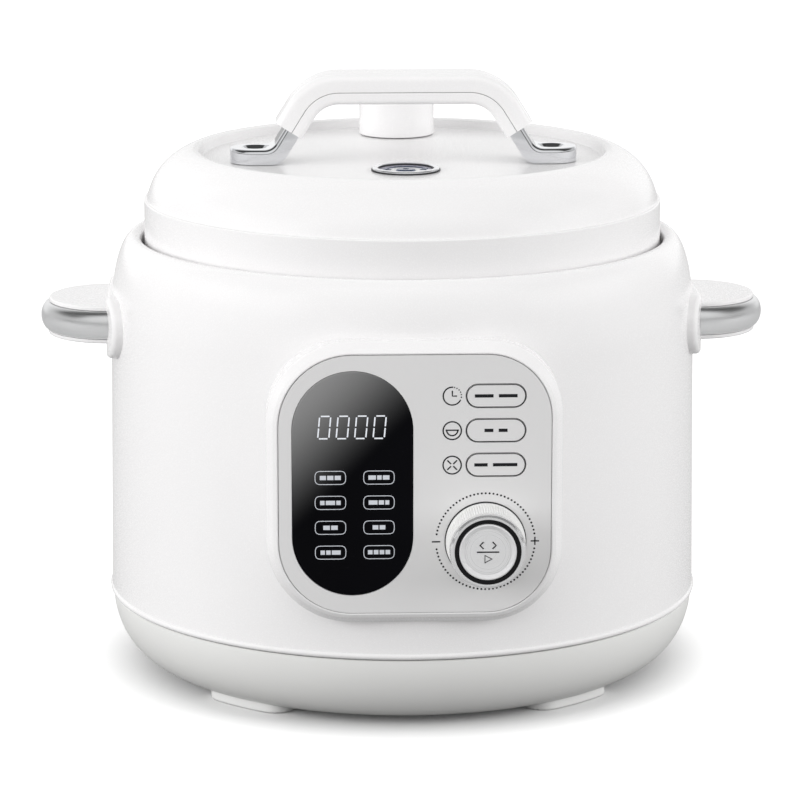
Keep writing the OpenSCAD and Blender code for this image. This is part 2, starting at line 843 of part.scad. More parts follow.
function backwards(points) = [for (i = [len(points) - 1:-1:0]) points[i]];
function on_left(points) = [for (p = points) [-p[0], p[1]]];

// Layer of the grip between two lines inside its outline
module grip_layer(outer, inner) {
  color(white) translate([0, grip_half_w - grip_front, 0]) rotate([90, 0, 0])
    linear_extrude(2 * grip_half_w) polygon(concat(
      grip_half(outer), backwards(grip_half(inner)),
      on_left(grip_half(inner)), backwards(on_left(grip_half(outer)))));
}

module grip_upper() {
  grip_layer(0, grip_split);
}

module grip_lower() {
  grip_layer(grip_split, grip_t);
}

module bracket() {
  along = [cos(grip_slope), -sin(grip_slope)];
  out = [sin(grip_slope), cos(grip_slope)];
  end = [grip_arc_x, grip_top_z - grip_arc_r] + grip_leg * along;
  top_out = end + (grip_arc_r - bracket_out) * out;
  top_in = end + (grip_arc_r - bracket_in) * out;
  fall_out = (top_out[1] - lid_floor_z - bracket_foot_t) / sin(grip_slope);
  fall_in = (top_in[1] - lid_floor_z) / sin(grip_slope);
  low_out = top_out + fall_out * along;
  low_in = top_in + fall_in * along;
  translate([0, -grip_front, 0]) difference() {
    union() {
      translate([0, grip_half_w, 0]) rotate([90, 0, 0]) linear_extrude(2 * grip_half_w)
        polygon([top_out, top_in, low_in, [bracket_foot_x, lid_floor_z],
                 [bracket_foot_x, lid_floor_z + bracket_foot_t], low_out]);
      translate([bracket_foot_x, 0, lid_floor_z]) cylinder(r = grip_half_w, h = bracket_foot_t);
    }
    translate([bracket_foot_x, 0, lid_floor_z - 1]) cylinder(r = bracket_screw_r, h = 20);
    translate([bracket_foot_x, 0, lid_floor_z + bracket_foot_t - 3.4])
      cylinder(r1 = bracket_screw_r, r2 = bracket_sink_r, h = 3.4 + tiny);
  }
}

module grip_brackets() {
  color(chrome) {
    bracket();
    mirror([1, 0, 0]) bracket();
  }
}

module bracket_screws() {
  color(chrome) for (s = [-1, 1]) translate([s * bracket_foot_x, -grip_front, lid_floor_z - 6]) {
    cylinder(r = bracket_thread_r, h = 6 + bracket_foot_t - 3.2);
    translate([0, 0, 6 + bracket_foot_t - 3.2]) difference() {
      cylinder(r1 = bracket_screw_r - 0.6, r2 = bracket_sink_r - 2, h = 2.4);
      for (a = [0, 90]) rotate([0, 0, a]) translate([-2.2, -0.45, 1.2]) cube([4.4, 0.9, 2]);
    }
  }
}

outer_shell();
base_shell();
base_plate();
base_screws();
foot(0);  // foot_front_left
foot(1);  // foot_front_right
foot(2);  // foot_rear_right
foot(3);  // foot_rear_left
outer_pot();
rim_collar();
heating_plate();
heating_element();
spring_plate();
sensor_cup();
sensor_spring();
thermal_fuse();
pressure_switch();
power_board();
power_parts();
inlet_socket();
inlet_pins();
condensate_cup();
inner_pot();
panel_frame();
panel_plate();
display_lens();
display_module();
control_board();
control_case();
key(0);  // timer_key
key(1);  // texture_key
key(2);  // cancel_key
key_switches();
encoder();
knob_ring();
knob_band();
start_button();
mirror([1, 0, 0]) handle_top();  // left_handle_top
mirror([1, 0, 0]) handle_band();  // left_handle_band
mirror([1, 0, 0]) handle_base();  // left_handle_base
handle_top();  // right_handle_top
handle_band();  // right_handle_band
handle_base();  // right_handle_base
lid_cover();
lid_plate();
lid_screws();
sealing_ring();
vent_pipe();
vent_nut();
anti_block_cap();
steam_valve_cap();
steam_valve_weight();
float_ring();
float_dish();
float_pin();
float_seal();
grip_upper();
grip_lower();
grip_brackets();
bracket_screws();
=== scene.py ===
"""Looks of the electric pressure cooker: finishes for the CAD nodes, and finer pieces where light shows form.

Lengths of the pieces are in millimetres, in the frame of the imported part, and are scaled when a mesh is
made. The floor, the lights and the camera are in metres.
"""
import json
import math

import bmesh
import bpy
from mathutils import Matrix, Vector


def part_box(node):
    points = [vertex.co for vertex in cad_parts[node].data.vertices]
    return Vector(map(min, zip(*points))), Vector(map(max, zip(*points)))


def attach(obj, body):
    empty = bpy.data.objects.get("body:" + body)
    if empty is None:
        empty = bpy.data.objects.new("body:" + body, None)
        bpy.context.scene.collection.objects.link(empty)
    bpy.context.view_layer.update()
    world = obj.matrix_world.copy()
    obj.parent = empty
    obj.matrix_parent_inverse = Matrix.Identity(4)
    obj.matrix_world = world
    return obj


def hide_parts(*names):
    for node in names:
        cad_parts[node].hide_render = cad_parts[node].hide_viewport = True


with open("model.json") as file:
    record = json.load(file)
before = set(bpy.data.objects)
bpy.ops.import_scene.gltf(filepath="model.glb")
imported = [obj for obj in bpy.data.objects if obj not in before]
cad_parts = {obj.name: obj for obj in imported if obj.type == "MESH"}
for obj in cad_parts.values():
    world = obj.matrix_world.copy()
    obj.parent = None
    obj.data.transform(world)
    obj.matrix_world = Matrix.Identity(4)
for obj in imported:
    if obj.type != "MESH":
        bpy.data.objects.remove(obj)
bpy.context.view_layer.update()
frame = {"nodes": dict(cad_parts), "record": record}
record = frame["record"]
MM = 0.001

# Where each node rides and what it is finished in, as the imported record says
BODY = {node: body for body, nodes in record["behaviour"]["bodies"].items() for node in nodes}
SLOT = {part["node"]: part["material_slot"] for part in record["subparts"]}


def low(node):
    """Lowest corner of a CAD node, in millimetres."""
    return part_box(node)[0] / MM


def high(node):
    """Highest corner of a CAD node, in millimetres."""
    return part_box(node)[1] / MM


def middle(node):
    """Middle of a CAD node's box, in millimetres."""
    return (low(node) + high(node)) / 2


# ---------- Finishes ----------

NOISE_LOW, NOISE_HIGH = 0.3, 0.7
GRAIN_DEPTH = 0.2
LEAST_ROUGH = 0.02
SOFT_RADIUS = (0.002, 0.002, 0.002)

# Every finish by its name. The record's slots go by the same names.
LOOKS = {}


def feed(tree, target, inputs):
    """Links a node's inputs, by name or number, to the sockets given, or sets them to the values given."""
    for key, value in inputs.items():
        if isinstance(value, bpy.types.NodeSocket):
            tree.links.new(value, target.inputs[key])
        else:
            target.inputs[key].default_value = value


def add_node(tree, kind, inputs=None, **settings):
    """New shader node with its settings, which decide what inputs there are, and then its inputs."""
    added = tree.nodes.new("ShaderNode" + kind)
    for setting, value in settings.items():
        setattr(added, setting, value)
    feed(tree, added, inputs or {})
    return added


def maths(tree, operation, *values):
    """Result of a Math node over sockets and numbers."""
    return add_node(tree, "Math", dict(enumerate(values)), operation=operation).outputs[0]


def vector_maths(tree, operation, *values):
    """Outputs of a Vector Math node."""
    return add_node(tree, "VectorMath", dict(enumerate(values)), operation=operation).outputs


def mapped(tree, value, start, end, low_to, high_to, **settings):
    """Maps a value between start and end to another range."""
    inputs = {"Value": value, "From Min": start, "From Max": end, "To Min": low_to, "To Max": high_to}
    return add_node(tree, "MapRange", inputs, **settings).outputs["Result"]


def ranged(tree, noise, low_to, high_to):
    """Maps noise, which stays mostly between two levels, to a range."""
    return mapped(tree, noise, NOISE_LOW, NOISE_HIGH, low_to, high_to)


def faded(tree, value, full, none):
    """1 where a value has reached full, and smoothly down to 0 where it reaches none."""
    return mapped(tree, value, full, none, 1, 0, interpolation_type="SMOOTHSTEP")


def mixed(tree, factor, colour, other):
    """Mix of two colours."""
    inputs = {"Factor": factor, "A": colour, "B": other}
    return add_node(tree, "Mix", inputs, data_type="RGBA").outputs["Result"]


def noise_input(tree, scale, detail, stretch=(1, 1, 1), spun=None):
    """Noise over the object's own coordinates, in rings where spun gives (the rings' plane, centre)."""
    coord = add_node(tree, "TexCoord")
    mapping = add_node(tree, "Mapping", {"Vector": coord.outputs["Object"], "Scale": stretch})
    vector = mapping.outputs["Vector"]
    if spun is not None:
        plane, centre = spun
        along = next(letter for letter in "XYZ" if letter not in plane)
        mapping.inputs["Location"].default_value = [-c * MM for c in centre]
        axes = add_node(tree, "SeparateXYZ", {0: vector}).outputs
        across = add_node(tree, "CombineXYZ", {"X": axes[plane[0]], "Y": axes[plane[1]]}).outputs[0]
        radius = vector_maths(tree, "LENGTH", across)["Value"]
        vector = add_node(tree, "CombineXYZ", {"X": radius, "Z": axes[along]}).outputs[0]
    return add_node(tree, "TexNoise", {"Vector": vector, "Scale": scale, "Detail": detail}).outputs["Fac"]


def finish(name, colour, rough, metal=0.0, tint=0.015, rough_by=0.04, patch=22, grain=1800, bump=0.02,
           stretch=(1, 1, 1), spun=None, coat=0.0, coat_rough=0.04, glow=0.0, clear=0.0, soft=0.0, shine=0.5):
    """Procedural finish: tone drifts over patches, roughness is uneven, and a fine grain catches light."""
    material = bpy.data.materials.new(name)
    material.use_nodes = True
    tree = material.node_tree
    shader = tree.nodes["Principled BSDF"]
    drift = ranged(tree, noise_input(tree, patch, 3), 0, 1)
    fine = noise_input(tree, grain, 4, stretch, spun)
    darker, paler = ([min(1, c * share) for c in colour] + [1] for share in (1 - tint, 1 + tint))
    relief = add_node(tree, "Bump", {"Strength": bump, "Distance": GRAIN_DEPTH * MM, "Height": fine})
    feed(tree, shader, {
        "Base Color": mixed(tree, drift, darker, paler), "Normal": relief.outputs["Normal"],
        "Roughness": ranged(tree, fine, max(LEAST_ROUGH, rough - rough_by), rough + rough_by),
        "Metallic": metal, "Specular IOR Level": shine, "Coat Weight": coat, "Coat Roughness": coat_rough,
        "Transmission Weight": clear, "Subsurface Weight": soft, "Subsurface Radius": SOFT_RADIUS,
        "Subsurface Scale": 1.0})
    if glow:
        feed(tree, shader, {"Emission Color": [*colour, 1], "Emission Strength": glow})
    LOOKS[name] = material
    return material


UPRIGHT = ("XY", (0, 0, 0))
KNOB_AXIS = ("XZ", middle("knob_ring"))

finish("white_shell", (0.863, 0.855, 0.857), 0.26, tint=0.006, grain=2600, bump=0.012, coat=0.3,
       coat_rough=0.16)
finish("white_inner", (0.8, 0.8, 0.785), 0.34, tint=0.01, grain=2400, bump=0.03, coat=0.1)
finish("steel_sheet", (0.62, 0.62, 0.63), 0.32, metal=1, tint=0.04, rough_by=0.09, bump=0.06, grain=60,
       stretch=(1, 1, 22))
finish("pot_steel", (0.7, 0.69, 0.68), 0.27, metal=1, tint=0.03, rough_by=0.1, bump=0.09, grain=900,
       spun=UPRIGHT)
finish("steel_screw", (0.58, 0.58, 0.59), 0.28, metal=1, tint=0.05, rough_by=0.08, bump=0.05)
finish("cast_aluminium", (0.66, 0.67, 0.68), 0.42, metal=1, tint=0.06, rough_by=0.1, bump=0.14, grain=700,
       spun=UPRIGHT)
finish("element_black", (0.06, 0.055, 0.05), 0.6, metal=0.3, tint=0.3, bump=0.2, grain=1200)
finish("foot_white", (0.84, 0.84, 0.83), 0.5, tint=0.02, bump=0.08)
finish("ceramic_white", (0.82, 0.79, 0.7), 0.3, tint=0.04, coat=0.4)
finish("black_plastic", (0.022, 0.022, 0.024), 0.48, tint=0.15, bump=0.16, grain=3000)
finish("circuit_board", (0.02, 0.13, 0.06), 0.38, tint=0.2, patch=160, coat=0.5, bump=0.08)
finish("chrome_trim", (0.82, 0.83, 0.85), 0.09, metal=1, tint=0.02, rough_by=0.03, bump=0.012)
finish("satin_plate", (0.78, 0.775, 0.775), 0.36, metal=0.1, tint=0.008, bump=0.035, grain=3600, coat=0.05)
finish("display_black", (0.002, 0.002, 0.003), 0.07, tint=0.2, rough_by=0.02, bump=0.003, shine=0.04)
finish("gloss_black", (0.004, 0.004, 0.005), 0.12, tint=0.2, rough_by=0.03, bump=0.01, shine=0.2)
finish("satin_band", (0.87, 0.875, 0.88), 0.34, metal=1, tint=0.02, rough_by=0.04, bump=0.015, grain=90,
       stretch=(1, 1, 30))
finish("silicone_clear", (0.78, 0.78, 0.75), 0.46, tint=0.03, bump=0.05, soft=0.5, clear=0.2)
finish("silicone_red", (0.4, 0.07, 0.045), 0.5, tint=0.08, bump=0.06, soft=0.3)
finish("pearl_dish", (0.7, 0.69, 0.8), 0.2, metal=0.2, tint=0.06, coat=0.5, patch=60)
finish("float_blue", (0.06, 0.085, 0.16), 0.26, metal=0.6, tint=0.12, coat=0.6, patch=300)
KNOB_WHITE = finish("knob_white", (0.84, 0.84, 0.83), 0.3, tint=0.01, bump=0.03, coat=0.2)
SILVER = finish("silver", (0.8, 0.8, 0.805), 0.2, metal=0.75, tint=0.01, bump=0.02, spun=KNOB_AXIS, coat=0.2)
CAP_SILVER = finish("cap_silver", (0.8, 0.8, 0.805), 0.3, metal=0.3, tint=0.01, bump=0.03, spun=KNOB_AXIS)
DARK_INK = finish("dark_ink", (0.016, 0.016, 0.018), 0.5, tint=0.06, bump=0.03, shine=0.08)
WHITE_INK = finish("white_ink", (0.5, 0.52, 0.56), 0.4, tint=0.03, bump=0.01, glow=0.3)
DIGIT_LIGHT = finish("digit_light", (0.62, 0.64, 0.68), 0.4, tint=0.03, bump=0.01, glow=0.45)
SEAM_GREY = finish("seam_grey", (0.3, 0.3, 0.3), 0.6, tint=0.05, bump=0.05)

# Painted reflection on the display window: its black turns grey towards the upper left corner over these
# distances
WINDOW_FADE, PAINTED_GLARE_GREY = (6, 76), 0.3


def painted_glare_corner(material, corner):
    """Painted reflection: fades the window's black to a pale grey glare towards its upper left corner, along
    the object's X and Z.
    """
    tree = material.node_tree
    shader = tree.nodes["Principled BSDF"]
    coord = add_node(tree, "TexCoord")
    away = vector_maths(tree, "SUBTRACT", coord.outputs["Object"], [c * MM for c in corner])[0]
    down_right = vector_maths(tree, "DOT_PRODUCT", away, (1, 0, -1))["Value"]
    fade = faded(tree, down_right, *(reach * MM for reach in WINDOW_FADE))
    black = shader.inputs["Base Color"].links[0].from_socket
    feed(tree, shader, {"Base Color": mixed(tree, fade, black, [PAINTED_GLARE_GREY] * 3 + [1])})


# Painted glare in the display window's upper left corner
painted_glare_corner(LOOKS["display_black"], (low("display_lens").x, 0, high("display_lens").z))

for node, obj in frame["nodes"].items():
    obj.data.materials.clear()
    obj.data.materials.append(LOOKS[SLOT[node]])

# Sheet and moulded parts that keep their CAD form get their edges broken
EDGE_ANGLE = 50
BROKEN_EDGES = {
    "base_plate": 0.2, "outer_pot": 0.25, "rim_collar": 0.3, "heating_plate": 0.5, "spring_plate": 0.3,
    "pressure_switch": 0.8, "power_board": 0.15, "power_parts": 0.8, "inlet_socket": 0.6, "inlet_pins": 0.4,
    "panel_plate": 0.18, "display_module": 0.3, "control_board": 0.15, "control_case": 0.5,
    "key_switches": 0.2, "encoder": 0.3, "lid_plate": 0.25, "vent_nut": 0.4, "anti_block_cap": 0.2,
    "vent_pipe": 0.3, "steam_valve_weight": 0.6, "float_seal": 0.4, "sensor_cup": 0.4,
}
for node, width in BROKEN_EDGES.items():
    bevel = frame["nodes"][node].modifiers.new("edges", "BEVEL")
    bevel.width = width * MM
    bevel.segments = 2
    bevel.limit_method = "ANGLE"
    bevel.angle_limit = math.radians(EDGE_ANGLE)
    bevel.harden_normals = True


# ---------- Mesh helpers ----------

def arc(x, y, radius, start, end, steps=12, radius_y=None):
    """Points on an arc or a piece of an ellipse. Angles are in degrees."""
    ry = radius if radius_y is None else radius_y
    angles = [math.radians(start + (end - start) * i / steps) for i in range(steps + 1)]
    return [(x + radius * math.cos(a), y + ry * math.sin(a)) for a in angles]


def rounded(corners, closed=False, steps=5):
    """Turns each corner (x, y, radius) into an arc that meets both sides. A corner may leave radius out."""
    count = len(corners)
    points = []
    for i, corner in enumerate(corners):
        here = Vector(corner[:2])
        radius = corner[2] if len(corner) > 2 else 0
        if radius == 0 or (not closed and i in (0, count - 1)):
            points.append(tuple(here))
            continue
        before = Vector(corners[i - 1][:2]) - here
        after = Vector(corners[(i + 1) % count][:2]) - here
        half = before.angle(after) / 2
        reach = min(radius / math.tan(half), before.length / 2, after.length / 2)
        start, end = here + before.normalized() * reach, here + after.normalized() * reach
        for k in range(steps + 1):
            t = k / steps
            points.append(tuple(start * (1 - t) ** 2 + here * 2 * t * (1 - t) + end * t ** 2))
    return points


def quarter_round(radius, steps):
    """(distance in from the side, depth below the top) of points round a rounded edge, from side to top."""
    turns = [math.radians(90 * i / steps) for i in range(steps + 1)]
    return [(radius * (1 - math.cos(t)), radius * (1 - math.sin(t))) for t in turns]


def loft(rings, cap_start=False, cap_end=False, loop=False, closed=True):
    """Vertices and faces of a skin over rings that all have the same number of points."""
    count = len(rings[0])
    verts = [tuple(p) for ring in rings for p in ring]
    faces = []
    for i in range(len(rings) if loop else len(rings) - 1):
        a, b = i * count, (i + 1) % len(rings) * count
        for k in range(count if closed else count - 1):
            n = (k + 1) % count
            faces.append((a + k, a + n, b + n, b + k))
    if cap_start:
        faces.append(tuple(range(count)))
    if cap_end:
        faces.append(tuple(range((len(rings) - 1) * count, len(rings) * count)))
    return verts, faces


def joined(shapes):
    """One shape out of several."""
    verts, faces = [], []
    for more_verts, more_faces in shapes:
        start = len(verts)
        verts += more_verts
        faces += [tuple(start + i for i in face) for face in more_faces]
    return verts, faces


def box_shape(lo, hi):
    """Plain block between two corners."""
    ring = [(lo[0], lo[1]), (hi[0], lo[1]), (hi[0], hi[1]), (lo[0], hi[1])]
    return loft([[(x, y, z) for x, y in ring] for z in (lo[2], hi[2])], cap_start=True, cap_end=True)


def lathe(profile, centre=(0, 0), segments=160, loop=True, relief=None):
    """Turns (radius, z) points round a vertical axis. relief(angle, z) adds to the radius."""
    rings = []
    for radius, z in profile:
        ring = []
        for k in range(segments):
            a = 2 * math.pi * k / segments
            r = radius + (relief(a, z) if relief else 0)
            ring.append((centre[0] + r * math.cos(a), centre[1] + r * math.sin(a), z))
        rings.append(ring)
    return loft(rings, loop=loop)


def facing_front(shape, x, y, z):
    """Turns a shape about its own origin so that its +Z looks at -Y, and puts it at a point."""
    verts, faces = shape
    return [(x + a, y - c, z + b) for a, b, c in verts], faces


WELD, CREASE = 0.004, 32


def clean_mesh(name, shape):
    """Mesh of a shape, with doubled points welded and the faces turned outwards."""
    verts, faces = shape
    mesh = bpy.data.meshes.new(name)
    mesh.from_pydata([Vector(v) * MM for v in verts], [], faces)
    bm = bmesh.new()
    bm.from_mesh(mesh)
    bmesh.ops.remove_doubles(bm, verts=bm.verts, dist=WELD * MM)
    bmesh.ops.recalc_face_normals(bm, faces=bm.faces)
    bm.to_mesh(mesh)
    bm.free()
    return mesh


def add_object(name, data):
    """New object in the scene."""
    obj = bpy.data.objects.new(name, data)
    bpy.context.scene.collection.objects.link(obj)
    return obj


def piece(name, node, shape, stands_for=True, look=None, slot=None, crease=CREASE):
    """Adds a mesh that rides with a CAD node's body and stands for the node unless told otherwise.

    Its finish is the node's own, that of another slot, or a look that the record has no slot for.
    """
    slot = slot or SLOT[node]
    mesh = clean_mesh(name, shape)
    mesh.shade_smooth()
    mesh.set_sharp_from_angle(angle=math.radians(crease))
    mesh.materials.append(look or LOOKS[slot])
    obj = add_object(name, mesh)
    obj.modifiers.new("normals", "WEIGHTED_NORMAL").keep_sharp = True
    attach(obj, BODY[node])
    if stands_for:
        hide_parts(node)
    return obj


def cut(obj, shape):
    """Takes a closed shape away from a piece."""
    cutter = add_object("cutter", clean_mesh("cutter", shape))
    boolean = obj.modifiers.new("cut", "BOOLEAN")
    boolean.operation = "DIFFERENCE"
    boolean.solver = "EXACT"
    boolean.object = cutter
    others = [m for m in obj.modifiers if m != boolean]
    for modifier in others:
        modifier.show_viewport = False
    graph = bpy.context.evaluated_depsgraph_get()
    obj_cut = bpy.data.meshes.new_from_object(obj.evaluated_get(graph))
    for modifier in others:
        modifier.show_viewport = True
    obj.modifiers.remove(boolean)
    bpy.data.objects.remove(cutter)
    obj.data = obj_cut
    obj_cut.set_sharp_from_angle(angle=math.radians(CREASE))


# ---------- Housing ----------

bead_r = high("outer_shell").x
seam_z = low("outer_shell").z
shell_top_z = high("outer_shell").z
SHOULDER_R, SHOULDER_Z = 141.0, 172.0
SHOULDER_TOP_R = 129.6
MOUTH_R = 126.0
LIP_Z, LIP_W = 202.0, 1.9
WALL = 2.4
BEAD = 1.6
TAPER = 0.0118
ROUND_STEPS = 256


def shell_r(z):
    """Outer radius of the housing at a height."""
    if z <= SHOULDER_Z:
        return SHOULDER_R + (SHOULDER_Z - z) * TAPER
    t = min(1, (z - SHOULDER_Z) / (shell_top_z - SHOULDER_Z))
    return SHOULDER_TOP_R + (SHOULDER_R - SHOULDER_TOP_R) * math.sqrt(1 - t * t)


def shell_point(x, z, out=0.0):
    """Point on the front of the housing, moved out by a distance."""
    r = shell_r(z) + out
    return (x, -math.sqrt(r * r - x * x), z)


def wall_points(steps):
    """Straight stretch of the housing's outside, from above the bead to the shoulder."""
    bottom = seam_z + 3.4
    return [(shell_r(z), z) for z in (bottom + (SHOULDER_Z - bottom) * i / steps for i in range(steps))]


shoulder_rise = shell_top_z - SHOULDER_Z
shoulder_width = SHOULDER_R - SHOULDER_TOP_R
roll = SHOULDER_TOP_R - MOUTH_R
shell_profile = (
    [(bead_r - BEAD - 0.5, seam_z + 0.5)]
    + arc(bead_r - BEAD, seam_z + BEAD, BEAD, -90, 62, 10)
    + [(shell_r(seam_z) + 0.15, seam_z + 3.1)]
    + wall_points(12)
    + arc(SHOULDER_TOP_R, SHOULDER_Z, shoulder_width, 0, 90, 26, shoulder_rise)
    + arc(SHOULDER_TOP_R, shell_top_z - roll, roll, 98, 180, 10)
    + rounded([(MOUTH_R, LIP_Z + 3), (MOUTH_R, LIP_Z, 0.5), (MOUTH_R + LIP_W, LIP_Z, 0.4),
               (MOUTH_R + LIP_W, LIP_Z + 4)])
    + arc(SHOULDER_TOP_R, SHOULDER_Z, shoulder_width - WALL, 80, 0, 12, shoulder_rise - WALL)
    + [(SHOULDER_R - WALL, seam_z + 4), (bead_r - BEAD - 0.5, seam_z + 4)]
)
shell = piece("shell_skin", "outer_shell", lathe(shell_profile, segments=ROUND_STEPS))
INLET_FLANGE = Vector((2, 0, 2))
cut(shell, box_shape(low("inlet_socket") + INLET_FLANGE, high("inlet_socket") - INLET_FLANGE))

base_bottom_z = low("base_shell").z
BOWL_R, BASE_STEP = 114.0, 1.4
base_top_r = bead_r - BASE_STEP
bowl_w, bowl_h = base_top_r - BOWL_R, seam_z - base_bottom_z


def bowl_z(radius):
    """Height of the underside of the base at a radius."""
    t = max(0.0, (radius - BOWL_R) / bowl_w)
    return seam_z - bowl_h * math.sqrt(max(0.0, 1 - t * t))


plate_edge = high("base_plate").x + 0.2
base_profile = (
    [(base_top_r - 3, seam_z - 0.5), (base_top_r - 0.5, seam_z - 0.5), (base_top_r - 0.1, seam_z - 1)]
    + arc(BOWL_R, seam_z, bowl_w, -3, -90, 36, bowl_h)
    + rounded([(BOWL_R - 4, base_bottom_z), (plate_edge, base_bottom_z, 0.5),
               (plate_edge, base_bottom_z + WALL, 0.4), (BOWL_R - 3, base_bottom_z + WALL)])
    + arc(BOWL_R, seam_z, bowl_w - WALL, -88, 0, 20, bowl_h - WALL)
)
POST_R, POST_BORE_R, POST_PITCH_R = 5.0, 1.5, 107.0
post_low, post_top = base_bottom_z + 2, low("outer_pot").z


def four_round(radius):
    """Four (x, y) points a quarter turn apart."""
    turns = [math.radians(90 * quarter) for quarter in range(4)]
    return [(radius * math.cos(a), radius * math.sin(a)) for a in turns]


post_profile = [(POST_BORE_R, post_low), (POST_R, post_low), (POST_R, post_top), (POST_BORE_R, post_top)]
posts = [lathe(post_profile, at, 28) for at in four_round(POST_PITCH_R)]
piece("base_skin", "base_shell", lathe(base_profile, segments=ROUND_STEPS))
piece("base_posts", "base_shell", joined(posts), stands_for=False)

FOOT_IN, FOOT_OUT, FOOT_SPAN = 103.0, 122.4, 24.0
END_STEPS, SIDE_STEPS, TREAD_EDGE = 12, 10, 1.2


def foot_shape(angle):
    """Bent pill under the base: a flat, softened tread, and sides that run up into the bowl."""
    pitch, half = (FOOT_IN + FOOT_OUT) / 2, (FOOT_OUT - FOOT_IN) / 2
    reach = FOOT_SPAN / 2 - math.degrees(math.asin(half / pitch))

    def outline(inset, height):
        ring = []
        half_w = half - inset
        for side in (1, -1):
            centre = math.radians(angle + side * reach)
            for k in range(END_STEPS + 1):
                turn = centre + math.pi * (k / END_STEPS + (0 if side == 1 else 1))
                ring.append((pitch * math.cos(centre) + half_w * math.cos(turn),
                             pitch * math.sin(centre) + half_w * math.sin(turn)))
            for k in range(1, SIDE_STEPS):
                a = math.radians(angle + side * reach * (1 - 2 * k / SIDE_STEPS))
                r = pitch - side * half_w
                ring.append((r * math.cos(a), r * math.sin(a)))
        return [(x, y, height if height is not None else bowl_z(math.hypot(x, y)) + 0.4) for x, y in ring]

    edge = reversed(quarter_round(TREAD_EDGE, 5))
    return loft([outline(inset, height) for inset, height in edge] + [outline(0, 2.2), outline(0, None)],
                cap_start=True, cap_end=True)


for node in ("foot_front_left", "foot_front_right", "foot_rear_left", "foot_rear_right"):
    spot = middle(node)
    piece(node + "_pad", node, foot_shape(math.degrees(math.atan2(spot.y, spot.x))))


# ---------- Lid ----------

skirt_r = high("lid_cover").x
skirt_z = low("lid_cover").z
lid_rim_z = high("lid_cover").z
valve = middle("steam_valve_cap")
lid_floor_z = low("steam_valve_cap").z - 0.4
RIDGE_Z = 228.5
RECESS_R = 97.5
DOME_BULGE = 4.2
SKIRT_T = 2.2


def bulged(start, end, height, steps):
    """Shallow arc between two points that stands off the straight line by a height."""
    a, b = Vector(start), Vector(end)
    out = Vector(((b - a).y, -(b - a).x)).normalized()
    shares = [i / steps for i in range(steps + 1)]
    return [tuple(a.lerp(b, t) + out * height * 4 * t * (1 - t)) for t in shares]


dome_foot = (skirt_r - 1.5, RIDGE_Z + 0.9)
dome_top = (RECESS_R + 5.2, lid_rim_z - 0.25)
lid_profile = (
    rounded([(skirt_r - SKIRT_T, skirt_z + 6), (skirt_r - SKIRT_T, skirt_z, 0.6), (skirt_r, skirt_z, 0.8),
             (skirt_r, skirt_z + 8)])
    + rounded([(skirt_r, skirt_z + 14), (skirt_r, RIDGE_Z, 0.9), (skirt_r - 1.2, RIDGE_Z + 0.25, 0.25),
               dome_foot])
    + bulged(dome_foot, dome_top, DOME_BULGE, 24)[1:]
    + rounded([dome_top, (RECESS_R + 3.2, lid_rim_z, 1.2), (RECESS_R + 0.6, lid_rim_z - 0.6, 1.4),
               (RECESS_R - 1.2, lid_floor_z, 1.4), (RECESS_R - 8, lid_floor_z)])[1:]
    + [(60, lid_floor_z), (20, lid_floor_z), (0, lid_floor_z)]
)
lid_under = (
    [(0, lid_floor_z - SKIRT_T), (RECESS_R + 1.2, lid_floor_z - SKIRT_T)]
    + [(r - 2.2, z - 0.8) for r, z in bulged(dome_foot, dome_top, DOME_BULGE, 12)[-3::-1]]
)
piece("lid_skin", "lid_cover", lathe(lid_profile + lid_under, segments=ROUND_STEPS))

valve_r = high("steam_valve_cap").x
valve_top = high("steam_valve_cap").z
valve_low = low("steam_valve_cap").z
piece("steam_valve_skin", "steam_valve_cap", lathe(rounded([
    (0, valve_top - 0.6), (valve_r - 4.5, valve_top - 0.6, 0.5), (valve_r - 3.4, valve_top, 0.6),
    (valve_r, valve_top, 1.9), (valve_r, valve_low, 0.7), (valve_r - 2.2, valve_low, 0.5),
    (valve_r - 2.2, valve_top - 2.6, 1), (0, valve_top - 2.6)]), valve.xy, 128, loop=False))

float_at = middle("float_ring")
ring_r = (high("float_ring").x - low("float_ring").x) / 2
dish_r = (high("float_dish").x - low("float_dish").x) / 2
pin_top = high("float_pin").z
# Width of the painted shadow rings round the float valve's bezel and dish
SHADOW_RING_W = 0.45
bezel_r = ring_r - SHADOW_RING_W


def float_turned(points):
    """Round fitting of the float valve, from (radius, height over the lid's floor, corner radius) points."""
    raised = [(radius, lid_floor_z + height, *corner) for radius, height, *corner in points]
    return lathe(rounded(raised, closed=True), float_at.xy, 96)


piece("float_bezel", "float_ring", float_turned([
    (dish_r, 0), (bezel_r, 0, 0.2), (bezel_r, 1.5, 0.6), (dish_r + 0.6, 1.6, 0.4), (dish_r, 1.2, 0.2)]))
# Thin black rings at the bezel's outer edge and round the dish's rim: painted shadow lines for the gaps there
shadow_rings = [lathe([(r, lid_floor_z), (r + SHADOW_RING_W, lid_floor_z), (r + SHADOW_RING_W, z), (r, z)], float_at.xy, 96)
         for r, z in ((bezel_r, lid_floor_z + 0.7), (dish_r - SHADOW_RING_W, lid_floor_z + 1.25))]
piece("float_shadow_rings", "float_ring", joined(shadow_rings), stands_for=False, slot="black_plastic")
DISH_FLOOR, PIN_R, PIN_HEAD_R = 2.2, 4.0, 6.0
WELL_OUT, WELL_IN, RIM_RISE, DISH_STEM_R = 9.8, 7.4, 0.35, 10.8
RIB_W, RIB_ANGLES = 1.3, (-135, -90, -45, 12, 168)
piece("float_bowl", "float_dish", float_turned([
    (PIN_R + 0.1, -4), (DISH_STEM_R, -4), (DISH_STEM_R, 0), (dish_r, 0), (dish_r, RIM_RISE + 0.1, 0.3),
    (WELL_OUT, RIM_RISE, 0.3), (WELL_IN, -DISH_FLOOR, 0.8), (PIN_R + 0.1, -DISH_FLOOR)]))


